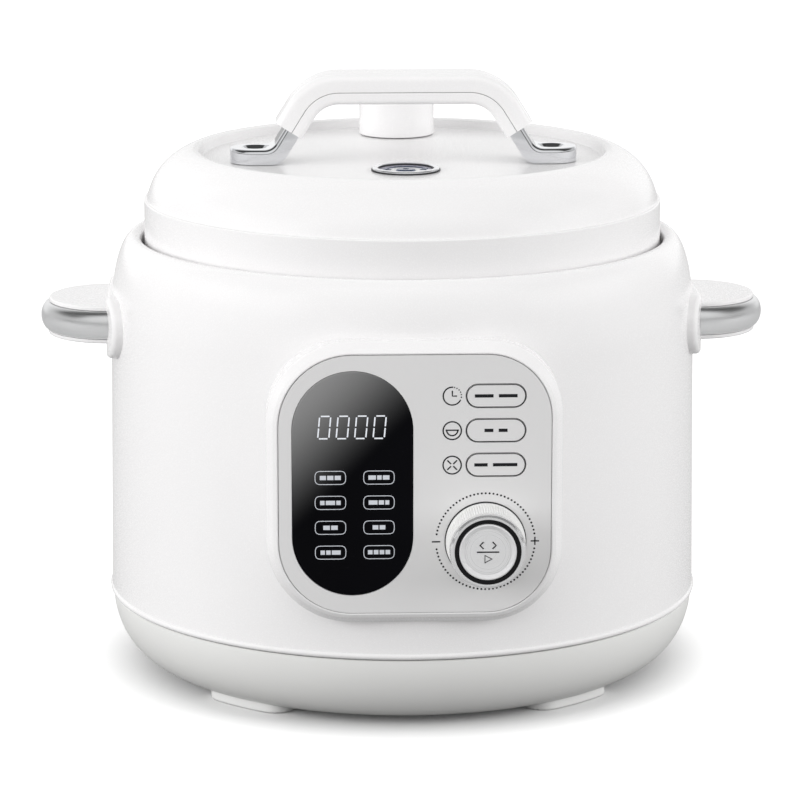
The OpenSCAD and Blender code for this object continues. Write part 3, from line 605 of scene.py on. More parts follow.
def rib_shape(angle):
    """Low rib of the float valve's guard, from the rim of the well towards the pin."""
    a = math.radians(angle)
    out, side = Vector((math.cos(a), math.sin(a))), Vector((-math.sin(a), math.cos(a))) * RIB_W / 2
    rings = []
    for r, z in ((PIN_HEAD_R + 0.5, -DISH_FLOOR + 1.4), (PIN_HEAD_R + 1, RIM_RISE - 0.1),
                 (WELL_OUT + 1, RIM_RISE + 0.25)):
        at = float_at.xy + out * r
        top, foot = lid_floor_z + z, lid_floor_z - DISH_FLOOR - 0.2
        rings.append([(*(at - side), foot), (*(at - side * 0.6), top),
                      (*(at + side * 0.6), top), (*(at + side), foot)])
    return loft(rings, cap_start=True, cap_end=True)


well = float_turned([
    (WELL_OUT + 0.3, RIM_RISE + 0.06), (WELL_OUT - 0.2, RIM_RISE + 0.06, 0.2),
    (WELL_IN - 0.2, 0.1 - DISH_FLOOR, 0.6), (PIN_R + 0.3, 0.1 - DISH_FLOOR),
    (PIN_R + 0.3, -DISH_FLOOR - 0.2), (WELL_IN, -DISH_FLOOR - 0.2)])
piece("float_guard", "float_dish", joined([well] + [rib_shape(angle) for angle in RIB_ANGLES]),
      stands_for=False, slot="float_blue")
pin_low = low("float_pin").z
piece("float_plunger", "float_pin", lathe(rounded([
    (0, pin_low), (PIN_R, pin_low, 0.5), (PIN_R, pin_top - 2.6, 0.2), (PIN_HEAD_R, pin_top - 2.6, 0.3),
    (PIN_HEAD_R - 0.4, pin_top - 1.3, 0.5), (PIN_HEAD_R - 2, pin_top, 0.6), (1.6, pin_top, 0.3),
    (1.2, pin_top - 0.5, 0.3), (0, pin_top - 0.5)]), float_at.xy, 72, loop=False))


# ---------- Grip and its brackets ----------

grip_top = high("grip_upper").z
grip_y = middle("grip_upper").y
grip_half_w = (high("grip_upper").y - low("grip_upper").y) / 2
GRIP_CORNER_X, GRIP_ARC_R, GRIP_SLOPE, GRIP_LEG_END = 46.53, 28.0, 58.0, 27.13
GRIP_SPLIT, GRIP_T, GRIP_GAP = 8.9, 14.5, 0.25


def grip_stations():
    """(point on the outer outline, outward direction) from the left end of the grip to the right one."""
    half = []
    arc_reach = GRIP_ARC_R * math.tan(math.radians(GRIP_SLOPE / 2))
    arc_x, leg = GRIP_CORNER_X - arc_reach, GRIP_LEG_END - arc_reach
    centre = Vector((arc_x, grip_top - GRIP_ARC_R))
    for i in range(5):
        half.append((Vector((arc_x * i / 5, grip_top)), Vector((0, 1))))
    for i in range(17):
        a = math.radians(90 - GRIP_SLOPE * i / 16)
        out = Vector((math.cos(a), math.sin(a)))
        half.append((centre + out * GRIP_ARC_R, out))
    end, out = half[-1]
    along = Vector((out.y, -out.x))
    for i in range(1, 5):
        half.append((end + along * leg * i / 4, out))
    left = [(Vector((-p.x, p.y)), Vector((-o.x, o.y))) for p, o in half[:0:-1]]
    return left + half


def grip_shape(section):
    """Sweeps a section of (depth below the outer outline, distance across) along the grip."""
    rings = []
    for point, out in grip_stations():
        ring = []
        for depth, across in section:
            spot = point - out * depth
            ring.append((spot.x, grip_y + across, spot.y))
        rings.append(ring)
    return loft(rings, cap_start=True, cap_end=True)


def grip_section(near, far, half, near_r=0.0, far_r=0.0):
    """Rectangle between two depths, with its corners rounded."""
    return rounded([(near, -half, near_r), (near, half, near_r), (far, half, far_r), (far, -half, far_r)],
                   closed=True, steps=8)


GRIP_TOP_R, GRIP_LOW_R, GRIP_EDGE_R, SEAM_INSET = 4.2, 3.0, 0.35, 0.6
upper_section = grip_section(0, GRIP_SPLIT - GRIP_GAP, grip_half_w, GRIP_TOP_R, GRIP_EDGE_R)
lower_section = grip_section(GRIP_SPLIT, GRIP_T, grip_half_w, GRIP_EDGE_R, GRIP_LOW_R)
seam_section = grip_section(GRIP_SPLIT - 1, GRIP_SPLIT + 0.5, grip_half_w - SEAM_INSET)
piece("grip_top_half", "grip_upper", grip_shape(upper_section))
piece("grip_under_half", "grip_lower", grip_shape(lower_section))
piece("grip_seam", "grip_lower", grip_shape(seam_section), stands_for=False, look=SEAM_GREY)

BRACKET_OUT, BRACKET_IN, BRACKET_EDGE = 5.1, 13.0, 2.2
FOOT_X, FOOT_T = 70.8, 7.4
SINK_R, SINK_DEPTH = 6.6, 4.4
bracket_floor = low("grip_brackets").z
bracket_top = bracket_floor + FOOT_T


def bracket_shape():
    """Right-hand bracket: a bar that leaves the grip, bends flat, and ends in a round foot."""
    end, out = grip_stations()[-1]
    along = Vector((out.y, -out.x))
    top_start, low_start = end - out * BRACKET_OUT, end - out * BRACKET_IN
    top_bend = top_start + along * (top_start.y - bracket_top) / -along.y
    low_bend = low_start + along * (low_start.y - bracket_floor) / -along.y
    stations = []
    top_line = rounded([(*top_start,), (*top_bend, 7), (FOOT_X, bracket_top)], steps=10)
    low_line = rounded([(*low_start,), (*low_bend, 9), (FOOT_X, bracket_floor)], steps=10)
    for high_point, low_point in zip(top_line, low_line):
        stations.append((high_point, low_point, grip_half_w))
    for i in range(1, 19):
        a = math.radians(90 * i / 18)
        x = FOOT_X + grip_half_w * math.sin(a)
        stations.append(((x, bracket_top), (x, bracket_floor), max(0.05, grip_half_w * math.cos(a))))
    rings = []
    for index, (high_point, low_point, half) in enumerate(stations):
        ends = len(stations) - index
        edge = min(BRACKET_EDGE, half * 0.6)
        dip = 1.1 * max(0.0, 1 - (ends - 1) / 6) ** 2
        ring = []
        for across, rise in rounded_bar(half, dip, edge):
            x = low_point[0] + (high_point[0] - low_point[0]) * rise
            z = low_point[1] + (high_point[1] - low_point[1]) * rise
            ring.append((x, grip_y + across, z))
        rings.append(ring)
    return loft(rings, cap_start=True, cap_end=True)


def rounded_bar(half, dip, edge):
    """Section of the bracket: (distance across, share of its thickness), with its upper edges rounded."""
    top = 1 - dip / FOOT_T
    left = [(-half, 0.04)]
    left += [(-half + inset, top - depth / FOOT_T) for inset, depth in quarter_round(edge, 6)]
    right = [(-x, share) for x, share in reversed(left)]
    return left + right


def mirrored(shape):
    """The same shape on the other side of the middle plane."""
    verts, faces = shape
    return [(-x, y, z) for x, y, z in verts], [tuple(reversed(face)) for face in faces]


right_bracket = bracket_shape()
brackets = piece("grip_chrome", "grip_brackets", joined([right_bracket, mirrored(right_bracket)]), crease=40)
sink_floor = bracket_top - SINK_DEPTH
sink = [(0, sink_floor), (2.2, sink_floor), (SINK_R, bracket_top + 0.01), (SINK_R, bracket_top + 2),
        (0, bracket_top + 2)]
for side in (-1, 1):
    cut(brackets, lathe(sink, (side * FOOT_X, grip_y), 64, loop=False))


def screw_shape(x, y, z, radius, depth):
    """Countersunk head with a slightly domed top, its rim at height z."""
    neck = radius * 0.35
    return lathe(rounded([(0, z + 0.35), (radius * 0.55, z + 0.28, 1), (radius, z, 0.25),
                          (neck, z - depth, 0.3), (neck, z - depth - 2), (0, z - depth - 2)]),
                 (x, y), 48, loop=False)


def cross_recess(obj, x, y, z, reach, half_width, depth):
    """Cuts a cross into the top of a screw's head."""
    cut(obj, box_shape((x - reach, y - half_width, z - depth), (x + reach, y + half_width, z + 2)))
    cut(obj, box_shape((x - half_width, y - reach, z - depth), (x + half_width, y + reach, z + 2)))


GRIP_HEAD_R, GRIP_HEAD_DEPTH = 4.3, 2.4
screw_z = bracket_top - 1.7
grip_heads = [screw_shape(side * FOOT_X, grip_y, screw_z, GRIP_HEAD_R, GRIP_HEAD_DEPTH) for side in (-1, 1)]
screws = piece("grip_screws", "bracket_screws", joined(grip_heads))
for side in (-1, 1):
    cross_recess(screws, side * FOOT_X, grip_y, screw_z, 2.4, 0.5, 1.1)


# ---------- Control panel ----------

plate_face = low("panel_plate").y
plate_mid = middle("panel_plate")
plate_w = high("panel_plate").x - low("panel_plate").x
plate_h = high("panel_plate").z - low("panel_plate").z
PLATE_LEFT_R, PLATE_RIGHT_R = 33.0, 29.0
FRAME_BEVEL_W, FRAME_BEVEL_D = 5.6, 5.0


def panel_outline(grow):
    """(x, z) points round the panel, grown by a distance."""
    w, h = plate_w / 2 + grow, plate_h / 2 + grow
    left, right = PLATE_LEFT_R + grow, PLATE_RIGHT_R + grow
    cx, cz = plate_mid.x, plate_mid.z
    corners = ((w - right, h - right, right, 0), (left - w, h - left, left, 90),
               (left - w, left - h, left, 180), (w - right, right - h, right, 270))
    return [point for x, z, r, start in corners for point in arc(cx + x, cz + z, r, start, start + 90, 20)]


frame_line = rounded([(-2.5, 1.9), (0.3, 1.9), (0.3, 0.25, 0.2), (0.9, 0.1, 0.5), (2.6, 1.1, 1.5),
                      (FRAME_BEVEL_W, FRAME_BEVEL_D, 1.8), (FRAME_BEVEL_W, FRAME_BEVEL_D + 5)])
frame_rings = [[(x, plate_face + depth, z) for x, z in panel_outline(grow)] for grow, depth in frame_line]
frame_rings.append([shell_point(x, z, -0.4) for x, z in panel_outline(FRAME_BEVEL_W)])
piece("panel_surround", "panel_frame", loft(frame_rings))


def pill_outline(x, z, w, h, steps=16):
    """(x, z) points round a pill that lies or stands."""
    r = min(w, h) / 2
    if w >= h:
        return arc(x + w / 2 - r, z, r, -90, 90, steps) + arc(x - w / 2 + r, z, r, 90, 270, steps)
    return arc(x, z + h / 2 - r, r, 0, 180, steps) + arc(x, z - h / 2 + r, r, 180, 360, steps)


def pill_slab(x, z, w, h, face, back, edge, steps=16):
    """Pill that faces the front, with a rounded edge."""
    rings = []
    for inset, depth in [(0, back - face)] + quarter_round(edge, 5):
        outline = pill_outline(x, z, w - 2 * inset, h - 2 * inset, steps)
        rings.append([(px, face + depth, pz) for px, pz in outline])
    return loft(rings, cap_start=True, cap_end=True)


lens_face, lens_mid = low("display_lens").y, middle("display_lens")
lens_w = high("display_lens").x - low("display_lens").x
lens_h = high("display_lens").z - low("display_lens").z
piece("display_window", "display_lens",
      pill_slab(lens_mid.x, lens_mid.z, lens_w, lens_h, lens_face, high("display_lens").y, 0.5, 32))

KEYS = ("timer_key", "texture_key", "cancel_key")
KEY_W, KEY_H, KEY_RIM, KEY_RIM_T = 26.7, 10.5, 1.0, 0.8
for node in KEYS:
    spot, face, back = middle(node), low(node).y, high(node).y
    piece(node + "_cap", node, joined([
        pill_slab(spot.x, spot.z, KEY_W, KEY_H, face, back - KEY_RIM_T, 0.25),
        pill_slab(spot.x, spot.z, KEY_W + 2 * KEY_RIM, KEY_H + 2 * KEY_RIM, back - KEY_RIM_T, back, 0.1)]))


# ---------- Prints ----------

INK = 0.05
ICON_R, STROKE, BORDER = 4.1, 0.62, 0.34


def line(points, width, face, closed=False):
    """Thin printed stroke along (x, z) points, just proud of a face that looks at -Y."""
    count = len(points)
    rings = []
    for i in range(count):
        before = Vector(points[i - 1 if i or closed else 0])
        after = Vector(points[(i + 1) % count if i < count - 1 or closed else i])
        along = (after - before).normalized()
        side = Vector((-along.y, along.x)) * width / 2
        x, z = points[i]
        rings.append([(x - side.x, face, z - side.y), (x - side.x, face - INK, z - side.y),
                      (x + side.x, face - INK, z + side.y), (x + side.x, face, z + side.y)])
    return loft(rings, loop=closed, cap_start=not closed, cap_end=not closed)


def dot(x, z, radius, face, steps=10):
    """Small printed disc."""
    ring = arc(x, z, radius, 0, 360 - 360 / steps, steps - 1)
    return loft([[(a, face, b) for a, b in ring], [(a, face - INK, b) for a, b in ring]], cap_end=True)


def circle(x, z, radius, width, face):
    """Printed circle line."""
    return line(arc(x, z, radius, 0, 360 - 360 / 40, 39), width, face, closed=True)


def clock_icon(x, z, face):
    """Clock: most of a ring, its last quarter dotted, and two hands."""
    shapes = [line(arc(x, z, ICON_R, 85, 335, 34), STROKE, face)]
    shapes += [dot(*arc(x, z, ICON_R, a, a, 1)[0], 0.32, face) for a in (-8, 9, 26, 43, 60, 76)]
    shapes.append(line([(x, z + 2.5), (x, z), (x + 2.1, z)], STROKE, face))
    return joined(shapes)


def bowl_icon(x, z, face):
    """Ring with a bowl in it."""
    bowl = arc(x, z + 0.2, 2.5, 180, 360, 14)
    return joined([circle(x, z, ICON_R, STROKE, face), line(bowl, STROKE, face),
                   line([(x - 3.0, z + 0.2), (x + 3.0, z + 0.2)], STROKE, face)])


def cross_icon(x, z, face):
    """Ring with a cross that is open in the middle."""
    shapes = [circle(x, z, ICON_R, STROKE, face)]
    for sx, sz in ((1, 1), (1, -1), (-1, 1), (-1, -1)):
        shapes.append(line([(x + sx * 0.5, z + sz * 0.5), (x + sx * 2.2, z + sz * 2.2)], STROKE, face))
    return joined(shapes)


def bars(x, z, lengths, gap, thick, face):
    """Row of short bars, a plain stand-in for a label."""
    shapes = []
    left = x - (sum(lengths) + gap * (len(lengths) - 1)) / 2
    for length in lengths:
        shapes.append(line([(left, z), (left + length, z)], thick, face))
        left += length + gap
    return shapes


knob_mid = middle("knob_ring")
ICON_X = plate_mid.x + 16.7
print_shapes = []
for node, icon in zip(KEYS, (clock_icon, bowl_icon, cross_icon)):
    print_shapes.append(icon(ICON_X, middle(node).z, plate_face))
DOT_RING_R, DOT_COUNT, DOT_R, SIGN_HALF = 22.4, 80, 0.48, 1.9
for i in range(DOT_COUNT):
    degrees = 360 * i / DOT_COUNT
    if min(abs(degrees - 1), abs(degrees - 359)) > 6 and abs(degrees - 180) > 6:
        spot = arc(knob_mid.x, knob_mid.z, DOT_RING_R, degrees, degrees, 1)[0]
        print_shapes.append(dot(*spot, DOT_R, plate_face, 8))
for sign, upright in ((-1, False), (1, True)):
    x = knob_mid.x + sign * DOT_RING_R
    print_shapes.append(line([(x - SIGN_HALF, knob_mid.z), (x + SIGN_HALF, knob_mid.z)], STROKE, plate_face))
    if upright:
        upstroke = [(x, knob_mid.z - SIGN_HALF), (x, knob_mid.z + SIGN_HALF)]
        print_shapes.append(line(upstroke, STROKE, plate_face))
piece("panel_prints", "panel_plate", joined(print_shapes), stands_for=False, look=DARK_INK)

KEY_BAR_GAP, KEY_BAR_T = 2.4, 1.5
KEY_LABELS = {"timer_key": (8.4, 8.4), "texture_key": (4, 4), "cancel_key": (6, 11)}
for node in KEYS:
    spot, face = middle(node), low(node).y
    border = line(pill_outline(spot.x, spot.z, KEY_W - BORDER, KEY_H - BORDER), BORDER, face, closed=True)
    label = bars(spot.x, spot.z, KEY_LABELS[node], KEY_BAR_GAP, KEY_BAR_T, face)
    piece(node + "_print", node, joined([border, *label]), stands_for=False, look=DARK_INK)

DIGIT_X, DIGIT_Z, DIGIT_PITCH = -43.8, 143.0, 8.3
DIGIT_W, DIGIT_H, SLANT, DIGIT_STROKE = 5.0, 10.3, 0.09, 0.62


def zero_digit(x, z, face):
    """Seven-segment 0: two level segments and four upright ones."""
    def at(u, v):
        return (x + u + SLANT * v, z + v)

    gap, half = 0.55, DIGIT_H / 2
    shapes = [line([at(gap, v), at(DIGIT_W - gap, v)], DIGIT_STROKE, face) for v in (0, DIGIT_H)]
    for u in (0, DIGIT_W):
        shapes.append(line([at(u, gap), at(u, half - gap * 0.7)], DIGIT_STROKE, face))
        shapes.append(line([at(u, half + gap * 0.7), at(u, DIGIT_H - gap)], DIGIT_STROKE, face))
    return joined(shapes)


digits = [zero_digit(DIGIT_X + i * DIGIT_PITCH, DIGIT_Z, lens_face) for i in range(4)]
piece("display_digits", "display_lens", joined(digits), stands_for=False, look=DIGIT_LIGHT)

LABEL_X, LABEL_W, LABEL_H, LABEL_R = (-38.2, -16.3), 13.8, 6.1, 2.4
LABEL_STROKE, LABEL_BAR_GAP, LABEL_BAR_T = 0.32, 0.55, 2.0
LABEL_Z = [124.9 - 11.57 * i for i in range(4)]
LABEL_BARS = [(2.8, 2.8, 2.8), (3.4, 2, 3), (2, 4.2, 2), (4, 2.4, 1.8), (3, 3), (2.6, 2.6), (2, 2, 4),
              (2.1, 2.1, 2.1, 2.1)]
label_shapes = []
for i, lengths in enumerate(LABEL_BARS):
    x, z = LABEL_X[i % 2], LABEL_Z[i // 2]
    corners = [(x + sx * LABEL_W / 2, z + sz * LABEL_H / 2, LABEL_R)
               for sx, sz in ((-1, -1), (1, -1), (1, 1), (-1, 1))]
    label_shapes.append(line(rounded(corners, closed=True), LABEL_STROKE, lens_face, closed=True))
    label_shapes += bars(x, z, lengths, LABEL_BAR_GAP, LABEL_BAR_T, lens_face)
piece("display_labels", "display_lens", joined(label_shapes), stands_for=False, look=WHITE_INK)


# ---------- Knob ----------

knob_back = high("knob_ring").y
knob_h = knob_back - low("knob_ring").y
KNOB_BASE_R, KNOB_FACE_R = high("knob_ring").x - knob_mid.x, 16.8
BAND_R, BAND_IN_R, BAND_D, BUTTON_R = 15.0, 13.2, 3.0, 12.9
RIBS = 96


def ribbed(angle, height):
    """Fine ribs on the knob's side. They fade out towards both ends."""
    t = height / knob_h
    fade = max(0.0, min(1.0, (t - 0.1) / 0.06, (0.8 - t) / 0.05))
    return -0.16 * fade * (1 - math.cos(RIBS * angle))


SIDE_RINGS, SIDE_LOW, side_top = 14, 0.6, knob_h * 0.84
knob_side = [(KNOB_BASE_R - (KNOB_BASE_R - KNOB_FACE_R - 0.4) * i / SIDE_RINGS,
              SIDE_LOW + (side_top - SIDE_LOW) * i / SIDE_RINGS) for i in range(SIDE_RINGS + 1)]


def on_knob(profile, segments=120, **options):
    """Round part of the knob, from (radius, height over the knob's back) points."""
    return facing_front(lathe(profile, segments=segments, **options), knob_mid.x, knob_back, knob_mid.z)


knob_profile = ([(6.1, 0), (KNOB_BASE_R - 0.6, 0), (KNOB_BASE_R - 0.1, 0.3)] + knob_side
                + [(BAND_IN_R + 0.3, side_top), (BAND_IN_R + 0.3, 4), (6.1, 4)])
piece("knob_grip", "knob_ring", on_knob(knob_profile, RIBS * 6, relief=ribbed), look=KNOB_WHITE)
# Thin black ring round the knob's base, a little proud of the plate: a painted shadow for the gap between
# knob and plate
shadow_ring_in, shadow_ring_out = KNOB_BASE_R - 1.5, KNOB_BASE_R + 0.45
shadow_ring_shape = lathe([(shadow_ring_in, -0.1), (shadow_ring_out, -0.1), (shadow_ring_out, 0.12), (shadow_ring_in, 0.12)], segments=120)
piece("knob_shadow_ring", "panel_plate", facing_front(shadow_ring_shape, knob_mid.x, plate_face, knob_mid.z), stands_for=False,
      slot="black_plastic")
rim_profile = rounded([(BAND_IN_R + 0.4, side_top), (KNOB_FACE_R + 0.35, side_top, 0.2),
                       (KNOB_FACE_R + 0.15, knob_h - 0.9, 0.6), (KNOB_FACE_R - 0.9, knob_h, 0.5),
                       (BAND_R, knob_h, 0.15), (BAND_R, knob_h - BAND_D)], closed=True)
piece("knob_rim", "knob_ring", on_knob(rim_profile), stands_for=False, look=SILVER)
band_out = BAND_R - 0.05
band_profile = rounded([(BAND_IN_R, knob_h - BAND_D), (band_out, knob_h - BAND_D),
                        (band_out, knob_h - 0.5, 0.3), (BAND_IN_R, knob_h - 0.5, 0.3)], closed=True)
piece("knob_black_ring", "knob_band", on_knob(band_profile))

button_h = knob_back - low("start_button").y
button_back = knob_back - high("start_button").y
button_profile = rounded([(0, button_back), (4, button_back), (4, button_h - 5), (BUTTON_R, button_h - 5),
                          (BUTTON_R, button_h - 0.3, 0.25), (BUTTON_R - 0.6, button_h, 0.2),
                          (10.6, button_h - 1.0, 0.25), (10.1, button_h - 0.85, 0.2), (0, button_h - 0.65)])
piece("start_cap", "start_button", on_knob(button_profile, loop=False), look=CAP_SILVER)
cap_face = knob_back - button_h + 0.66


def on_cap(*points, closed=False):
    """Printed stroke on the push cap, along points measured from its middle."""
    return line([(knob_mid.x + x, knob_mid.z + z) for x, z in points], STROKE, cap_face, closed)


arrows = [on_cap((side * 2, 1.5), (side * 3.6, 3.1), (side * 2, 4.7)) for side in (-1, 1)]
triangle = on_cap((-1.4, -1.5), (1.8, -3.2), (-1.4, -4.9), closed=True)
select_start = [on_cap((-5, 0), (5, 0)), *arrows, triangle]
piece("start_print", "start_button", joined(select_start), stands_for=False, look=DARK_INK)


# ---------- Side handles ----------

ear_reach = high("right_handle_top").x
EAR_CENTRE_X = 141.5
EAR_ROOT_R, EAR_ROOT_Y, BOSS_R = 142.6, 35.2, 145.6
BAND_BULGE, BAND_T = 4.6, 1.2
CAP_RIM, LIP_H = 2.0, 1.9
CAP_INSET, LIP_INSET = 3.9, 3.4
BOSS_HALF_L, BOSS_HALF_H, BOSS_EDGE = 44.0, 14.5, 2.0


def ear_outline(inset):
    """(x, y) points round the right ear: half an oval, and back along the boss that it grows out of."""
    half_y = EAR_ROOT_Y - inset
    end = math.degrees(math.asin(half_y / EAR_ROOT_R))
    edge = arc(EAR_CENTRE_X, 0, ear_reach - EAR_CENTRE_X - inset, -90, 90, 40, half_y)
    return edge + arc(0, 0, EAR_ROOT_R, end, -end, 14)[1:-1]


def ear_slab(profile, cap_start=True, cap_end=True, loop=False):
    """Skin over (inset, z) points of the ear's outline."""
    rings = [[(x, y, z) for x, y in ear_outline(inset)] for inset, z in profile]
    return loft(rings, cap_start=cap_start, cap_end=cap_end, loop=loop)


def boss_shape(node):
    """Oval pad on the housing: it follows the housing's curve and has a rounded edge."""
    z_mid = high(node).z - BOSS_HALF_H
    steps = [(0, None), (0, BOSS_R - BOSS_EDGE - 0.2)]
    steps += [(inset, BOSS_R - depth) for inset, depth in quarter_round(BOSS_EDGE, 6)]
    steps += [(inset, BOSS_R) for inset in (4, 7, 10, 12.5, 14.3)]
    rings = []
    for inset, radius in steps:
        ring = []
        for y, z in pill_outline(0, z_mid, 2 * (BOSS_HALF_L - inset), 2 * (BOSS_HALF_H - inset), 20):
            r = shell_r(z) - 0.3 if radius is None else radius
            ring.append((math.sqrt(r * r - y * y), y, z))
        rings.append(ring)
    return loft(rings, cap_end=True)


for side, flip in (("right", False), ("left", True)):
    top_node, band_node, base_node = (f"{side}_handle_{part}" for part in ("top", "band", "base"))
    top, lip_low = high(top_node).z, low(band_node).z - 1.4
    band_top, band_low = top - CAP_RIM, lip_low + LIP_H
    band_in = BAND_BULGE + BAND_T
    cap_shape = ear_slab(rounded([(band_in, band_top), (CAP_INSET, band_top, 0.2), (CAP_INSET, top, 1.5),
                                  (9, top)]))
    bulge = arc(BAND_BULGE, (band_low + band_top) / 2, BAND_BULGE, 258, 102, 20, (band_top - band_low) / 2)
    band_back = [(band_in, band_top - 0.2), (band_in, band_low + 0.2)]
    band_shape = ear_slab(bulge + band_back, False, False, loop=True)
    base_shape = joined([
        ear_slab(rounded([(band_in, band_top - 0.1), (band_in, band_low), (LIP_INSET, band_low, 0.3),
                          (LIP_INSET, lip_low, 1.1), (band_in + 2, lip_low, 0.6),
                          (band_in + 2, band_top - 3, 1)])),
        boss_shape(base_node)])
    for name, node, shape in (("cap", top_node, cap_shape), ("trim", band_node, band_shape),
                              ("ear", base_node, base_shape)):
        piece(f"{side}_handle_{name}", node, mirrored(shape) if flip else shape)


# ---------- Inside ----------

pot_low, pot_high = low("inner_pot"), high("inner_pot")
POT_R, POT_T, FLANGE_R = 105.5, 1.5, pot_high.x
pot_profile = (
    [(0, pot_low.z + 0.6), (30, pot_low.z + 0.3), (60, pot_low.z)]
    + arc(POT_R + POT_T - 9, pot_low.z + 9, 9, -90, 0, 12)
    + rounded([(POT_R + POT_T, pot_high.z - 6), (POT_R + POT_T, pot_high.z - POT_T, 1.2),
               (FLANGE_R, pot_high.z - POT_T, 0.6), (FLANGE_R, pot_high.z, 0.7), (POT_R, pot_high.z, 1.6),
               (POT_R, pot_high.z - 8)])
    + arc(POT_R - 8, pot_low.z + POT_T + 8, 8, 0, -90, 12)
    + [(60, pot_low.z + POT_T), (30, pot_low.z + POT_T + 0.3), (0, pot_low.z + POT_T + 0.6)]
)
piece("pot_skin", "inner_pot", lathe(pot_profile, segments=200, loop=False))

ring_low, ring_high = low("sealing_ring"), high("sealing_ring")
seal_out, seal_in = ring_high.x, ring_high.x - 7
groove_out, groove_in, groove_z = seal_out - 4, seal_out - 5.4, ring_low.z + 3.4
piece("seal_skin", "sealing_ring", lathe(rounded([
    (seal_in, ring_low.z, 0.8), (seal_out - 0.2, ring_low.z, 1), (seal_out, ring_high.z, 0.8),
    (groove_out, ring_high.z, 0.6), (groove_out, groove_z, 0.9),
    (groove_in, groove_z, 0.9), (groove_in, ring_high.z - 0.8, 0.3),
    (seal_in, ring_high.z - 0.8, 0.4)], closed=True), segments=160))


# ---------- Rear fittings ----------

cup_low, cup_high = low("condensate_cup"), high("condensate_cup")
CUP_BACK_R, CUP_CORNER_R, CUP_WALL = 142.5, 8.0, 1.8


def cup_outline(inset):
    """(x, y) points round the condensate cup: round corners, and a back that follows the housing."""
    half, far = cup_high.x - inset, cup_high.y - inset
    r = CUP_CORNER_R - inset
    back_r = CUP_BACK_R + inset
    back_x = half - 0.4
    end = math.degrees(math.acos(back_x / back_r))
    sides = arc(half - r, far - r, r, 0, 90, 10) + arc(r - half, far - r, r, 90, 180, 10)
    return sides + arc(0, 0, back_r, 180 - end, end, 20)


cup_rim = rounded([(2.0, cup_low.z), (0, cup_low.z, 1.4), (0, cup_high.z, 0.7), (CUP_WALL, cup_high.z, 0.7),
                   (CUP_WALL, cup_low.z + CUP_WALL, 1.4), (4.5, cup_low.z + CUP_WALL)])
cup_rings = [[(x, y, z) for x, y in cup_outline(inset)] for inset, z in cup_rim]
piece("condensate_cup_skin", "condensate_cup", loft(cup_rings, cap_start=True, cap_end=True))

SCREW_HEAD_R = 3.4
heads, head_z = [], low("base_screws").z + 0.4
for x, y in four_round(POST_PITCH_R):
    verts, faces = screw_shape(x, y, 0, SCREW_HEAD_R, 1.4)
    heads.append(([(vx, vy, head_z - vz) for vx, vy, vz in verts], [tuple(reversed(face)) for face in faces]))
piece("base_screw_heads", "base_screws", joined(heads))


# ---------- Floor, light and camera ----------

FLOOR_HALF = 9.0
FLOOR_SHOWN, FLOOR_BOUNCE, MIRRORED, PAPER_LIFT = 0.95, 0.26, 0.45, 0.36
# Distances from the object's middle over which the floor's glow fades in: inside them, a painted contact
# shadow
PAINTED_SHADOW_REACH = (0.125, 0.165)
ROOM_LEAN, ROOM_LEVEL = (-0.03, -0.14, 0.15), 0.61
GAP_DEPTH = 0.92
# Where the backdrop and the dark gaps are whole and where they end, along the direction's own axes
BACKDROP_Y = (0.8, 0.4)
LOW_GAP_Z, LOW_GAP_REACH, LOW_GAP_Y = 0.1, (0.04, 0.1), (-0.2, 0.3)
TOP_GAP_FORWARD, TOP_GAP_REACH, TOP_GAP_Z = 0.05, (0.35, 0.5), (0.5, 0.3)
LIGHT_TARGET = (0, 0, 0.12)
LIGHTS = {"key": ((-2.3, -1.0, 0.85), (2.2, 1.4), 44), "fill": ((2.4, -0.75, 0.85), (2.0, 1.4), 37)}
CAMERA_TURN, CAMERA_PITCH = math.radians(2.2), math.radians(12.408)
CAMERA_DISTANCE, CAMERA_HEIGHT, CAMERA_SIDE = 1.8, 0.5236, -0.00106
CAMERA_LENS, CAMERA_SENSOR = 169.6, 36
WHITE = (1, 1, 1, 1)


def floor_finish():
    """Matt white paper that glows evenly for the camera, with the glow faded out near the object as a painted
    contact shadow. It shows more light than it sends on.
    """
    material = finish("floor_paper", (0.9, 0.9, 0.9), 0.9, shine=0.0, bump=0.0)
    tree = material.node_tree
    path = add_node(tree, "LightPath").outputs
    in_gloss = maths(tree, "MULTIPLY", path["Is Glossy Ray"], MIRRORED)
    seen = maths(tree, "MAXIMUM", path["Is Camera Ray"], in_gloss)
    bounced, shown = ([level] * 3 + [1] for level in (FLOOR_BOUNCE, FLOOR_SHOWN))
    away = vector_maths(tree, "LENGTH", add_node(tree, "TexCoord").outputs["Object"])["Value"]
    # Painted contact shadow: no glow near the object
    painted_shadow_mask = mapped(tree, away, *PAINTED_SHADOW_REACH, 0, 1, interpolation_type="SMOOTHSTEP")
    lift = maths(tree, "MULTIPLY", maths(tree, "MULTIPLY", path["Is Camera Ray"], painted_shadow_mask), PAPER_LIFT)
    feed(tree, tree.nodes["Principled BSDF"], {
        "Base Color": mixed(tree, seen, bounced, shown), "Emission Color": WHITE, "Emission Strength": lift})
    return material


def stage_floor():
    """Wide pale floor."""
    half = FLOOR_HALF
    mesh = bpy.data.meshes.new("floor")
    corners = [(-half, -half, 0), (half, -half, 0), (half, half, 0), (-half, half, 0)]
    mesh.from_pydata(corners, [], [(0, 1, 2, 3)])
    mesh.materials.append(floor_finish())
    floor = add_object("floor", mesh)


def area_light(name, location, size, power):
    """Soft rectangular light that looks at the object and can't be seen in its gloss."""
    data = bpy.data.lights.new(name, "AREA")
    data.shape = "RECTANGLE"
    data.size, data.size_y = size
    data.energy = power
    light = add_object(name, data)
    light.location = location
    light.rotation_euler = (Vector(LIGHT_TARGET) - Vector(location)).to_track_quat("-Z", "Y").to_euler()
    light.visible_glossy = False


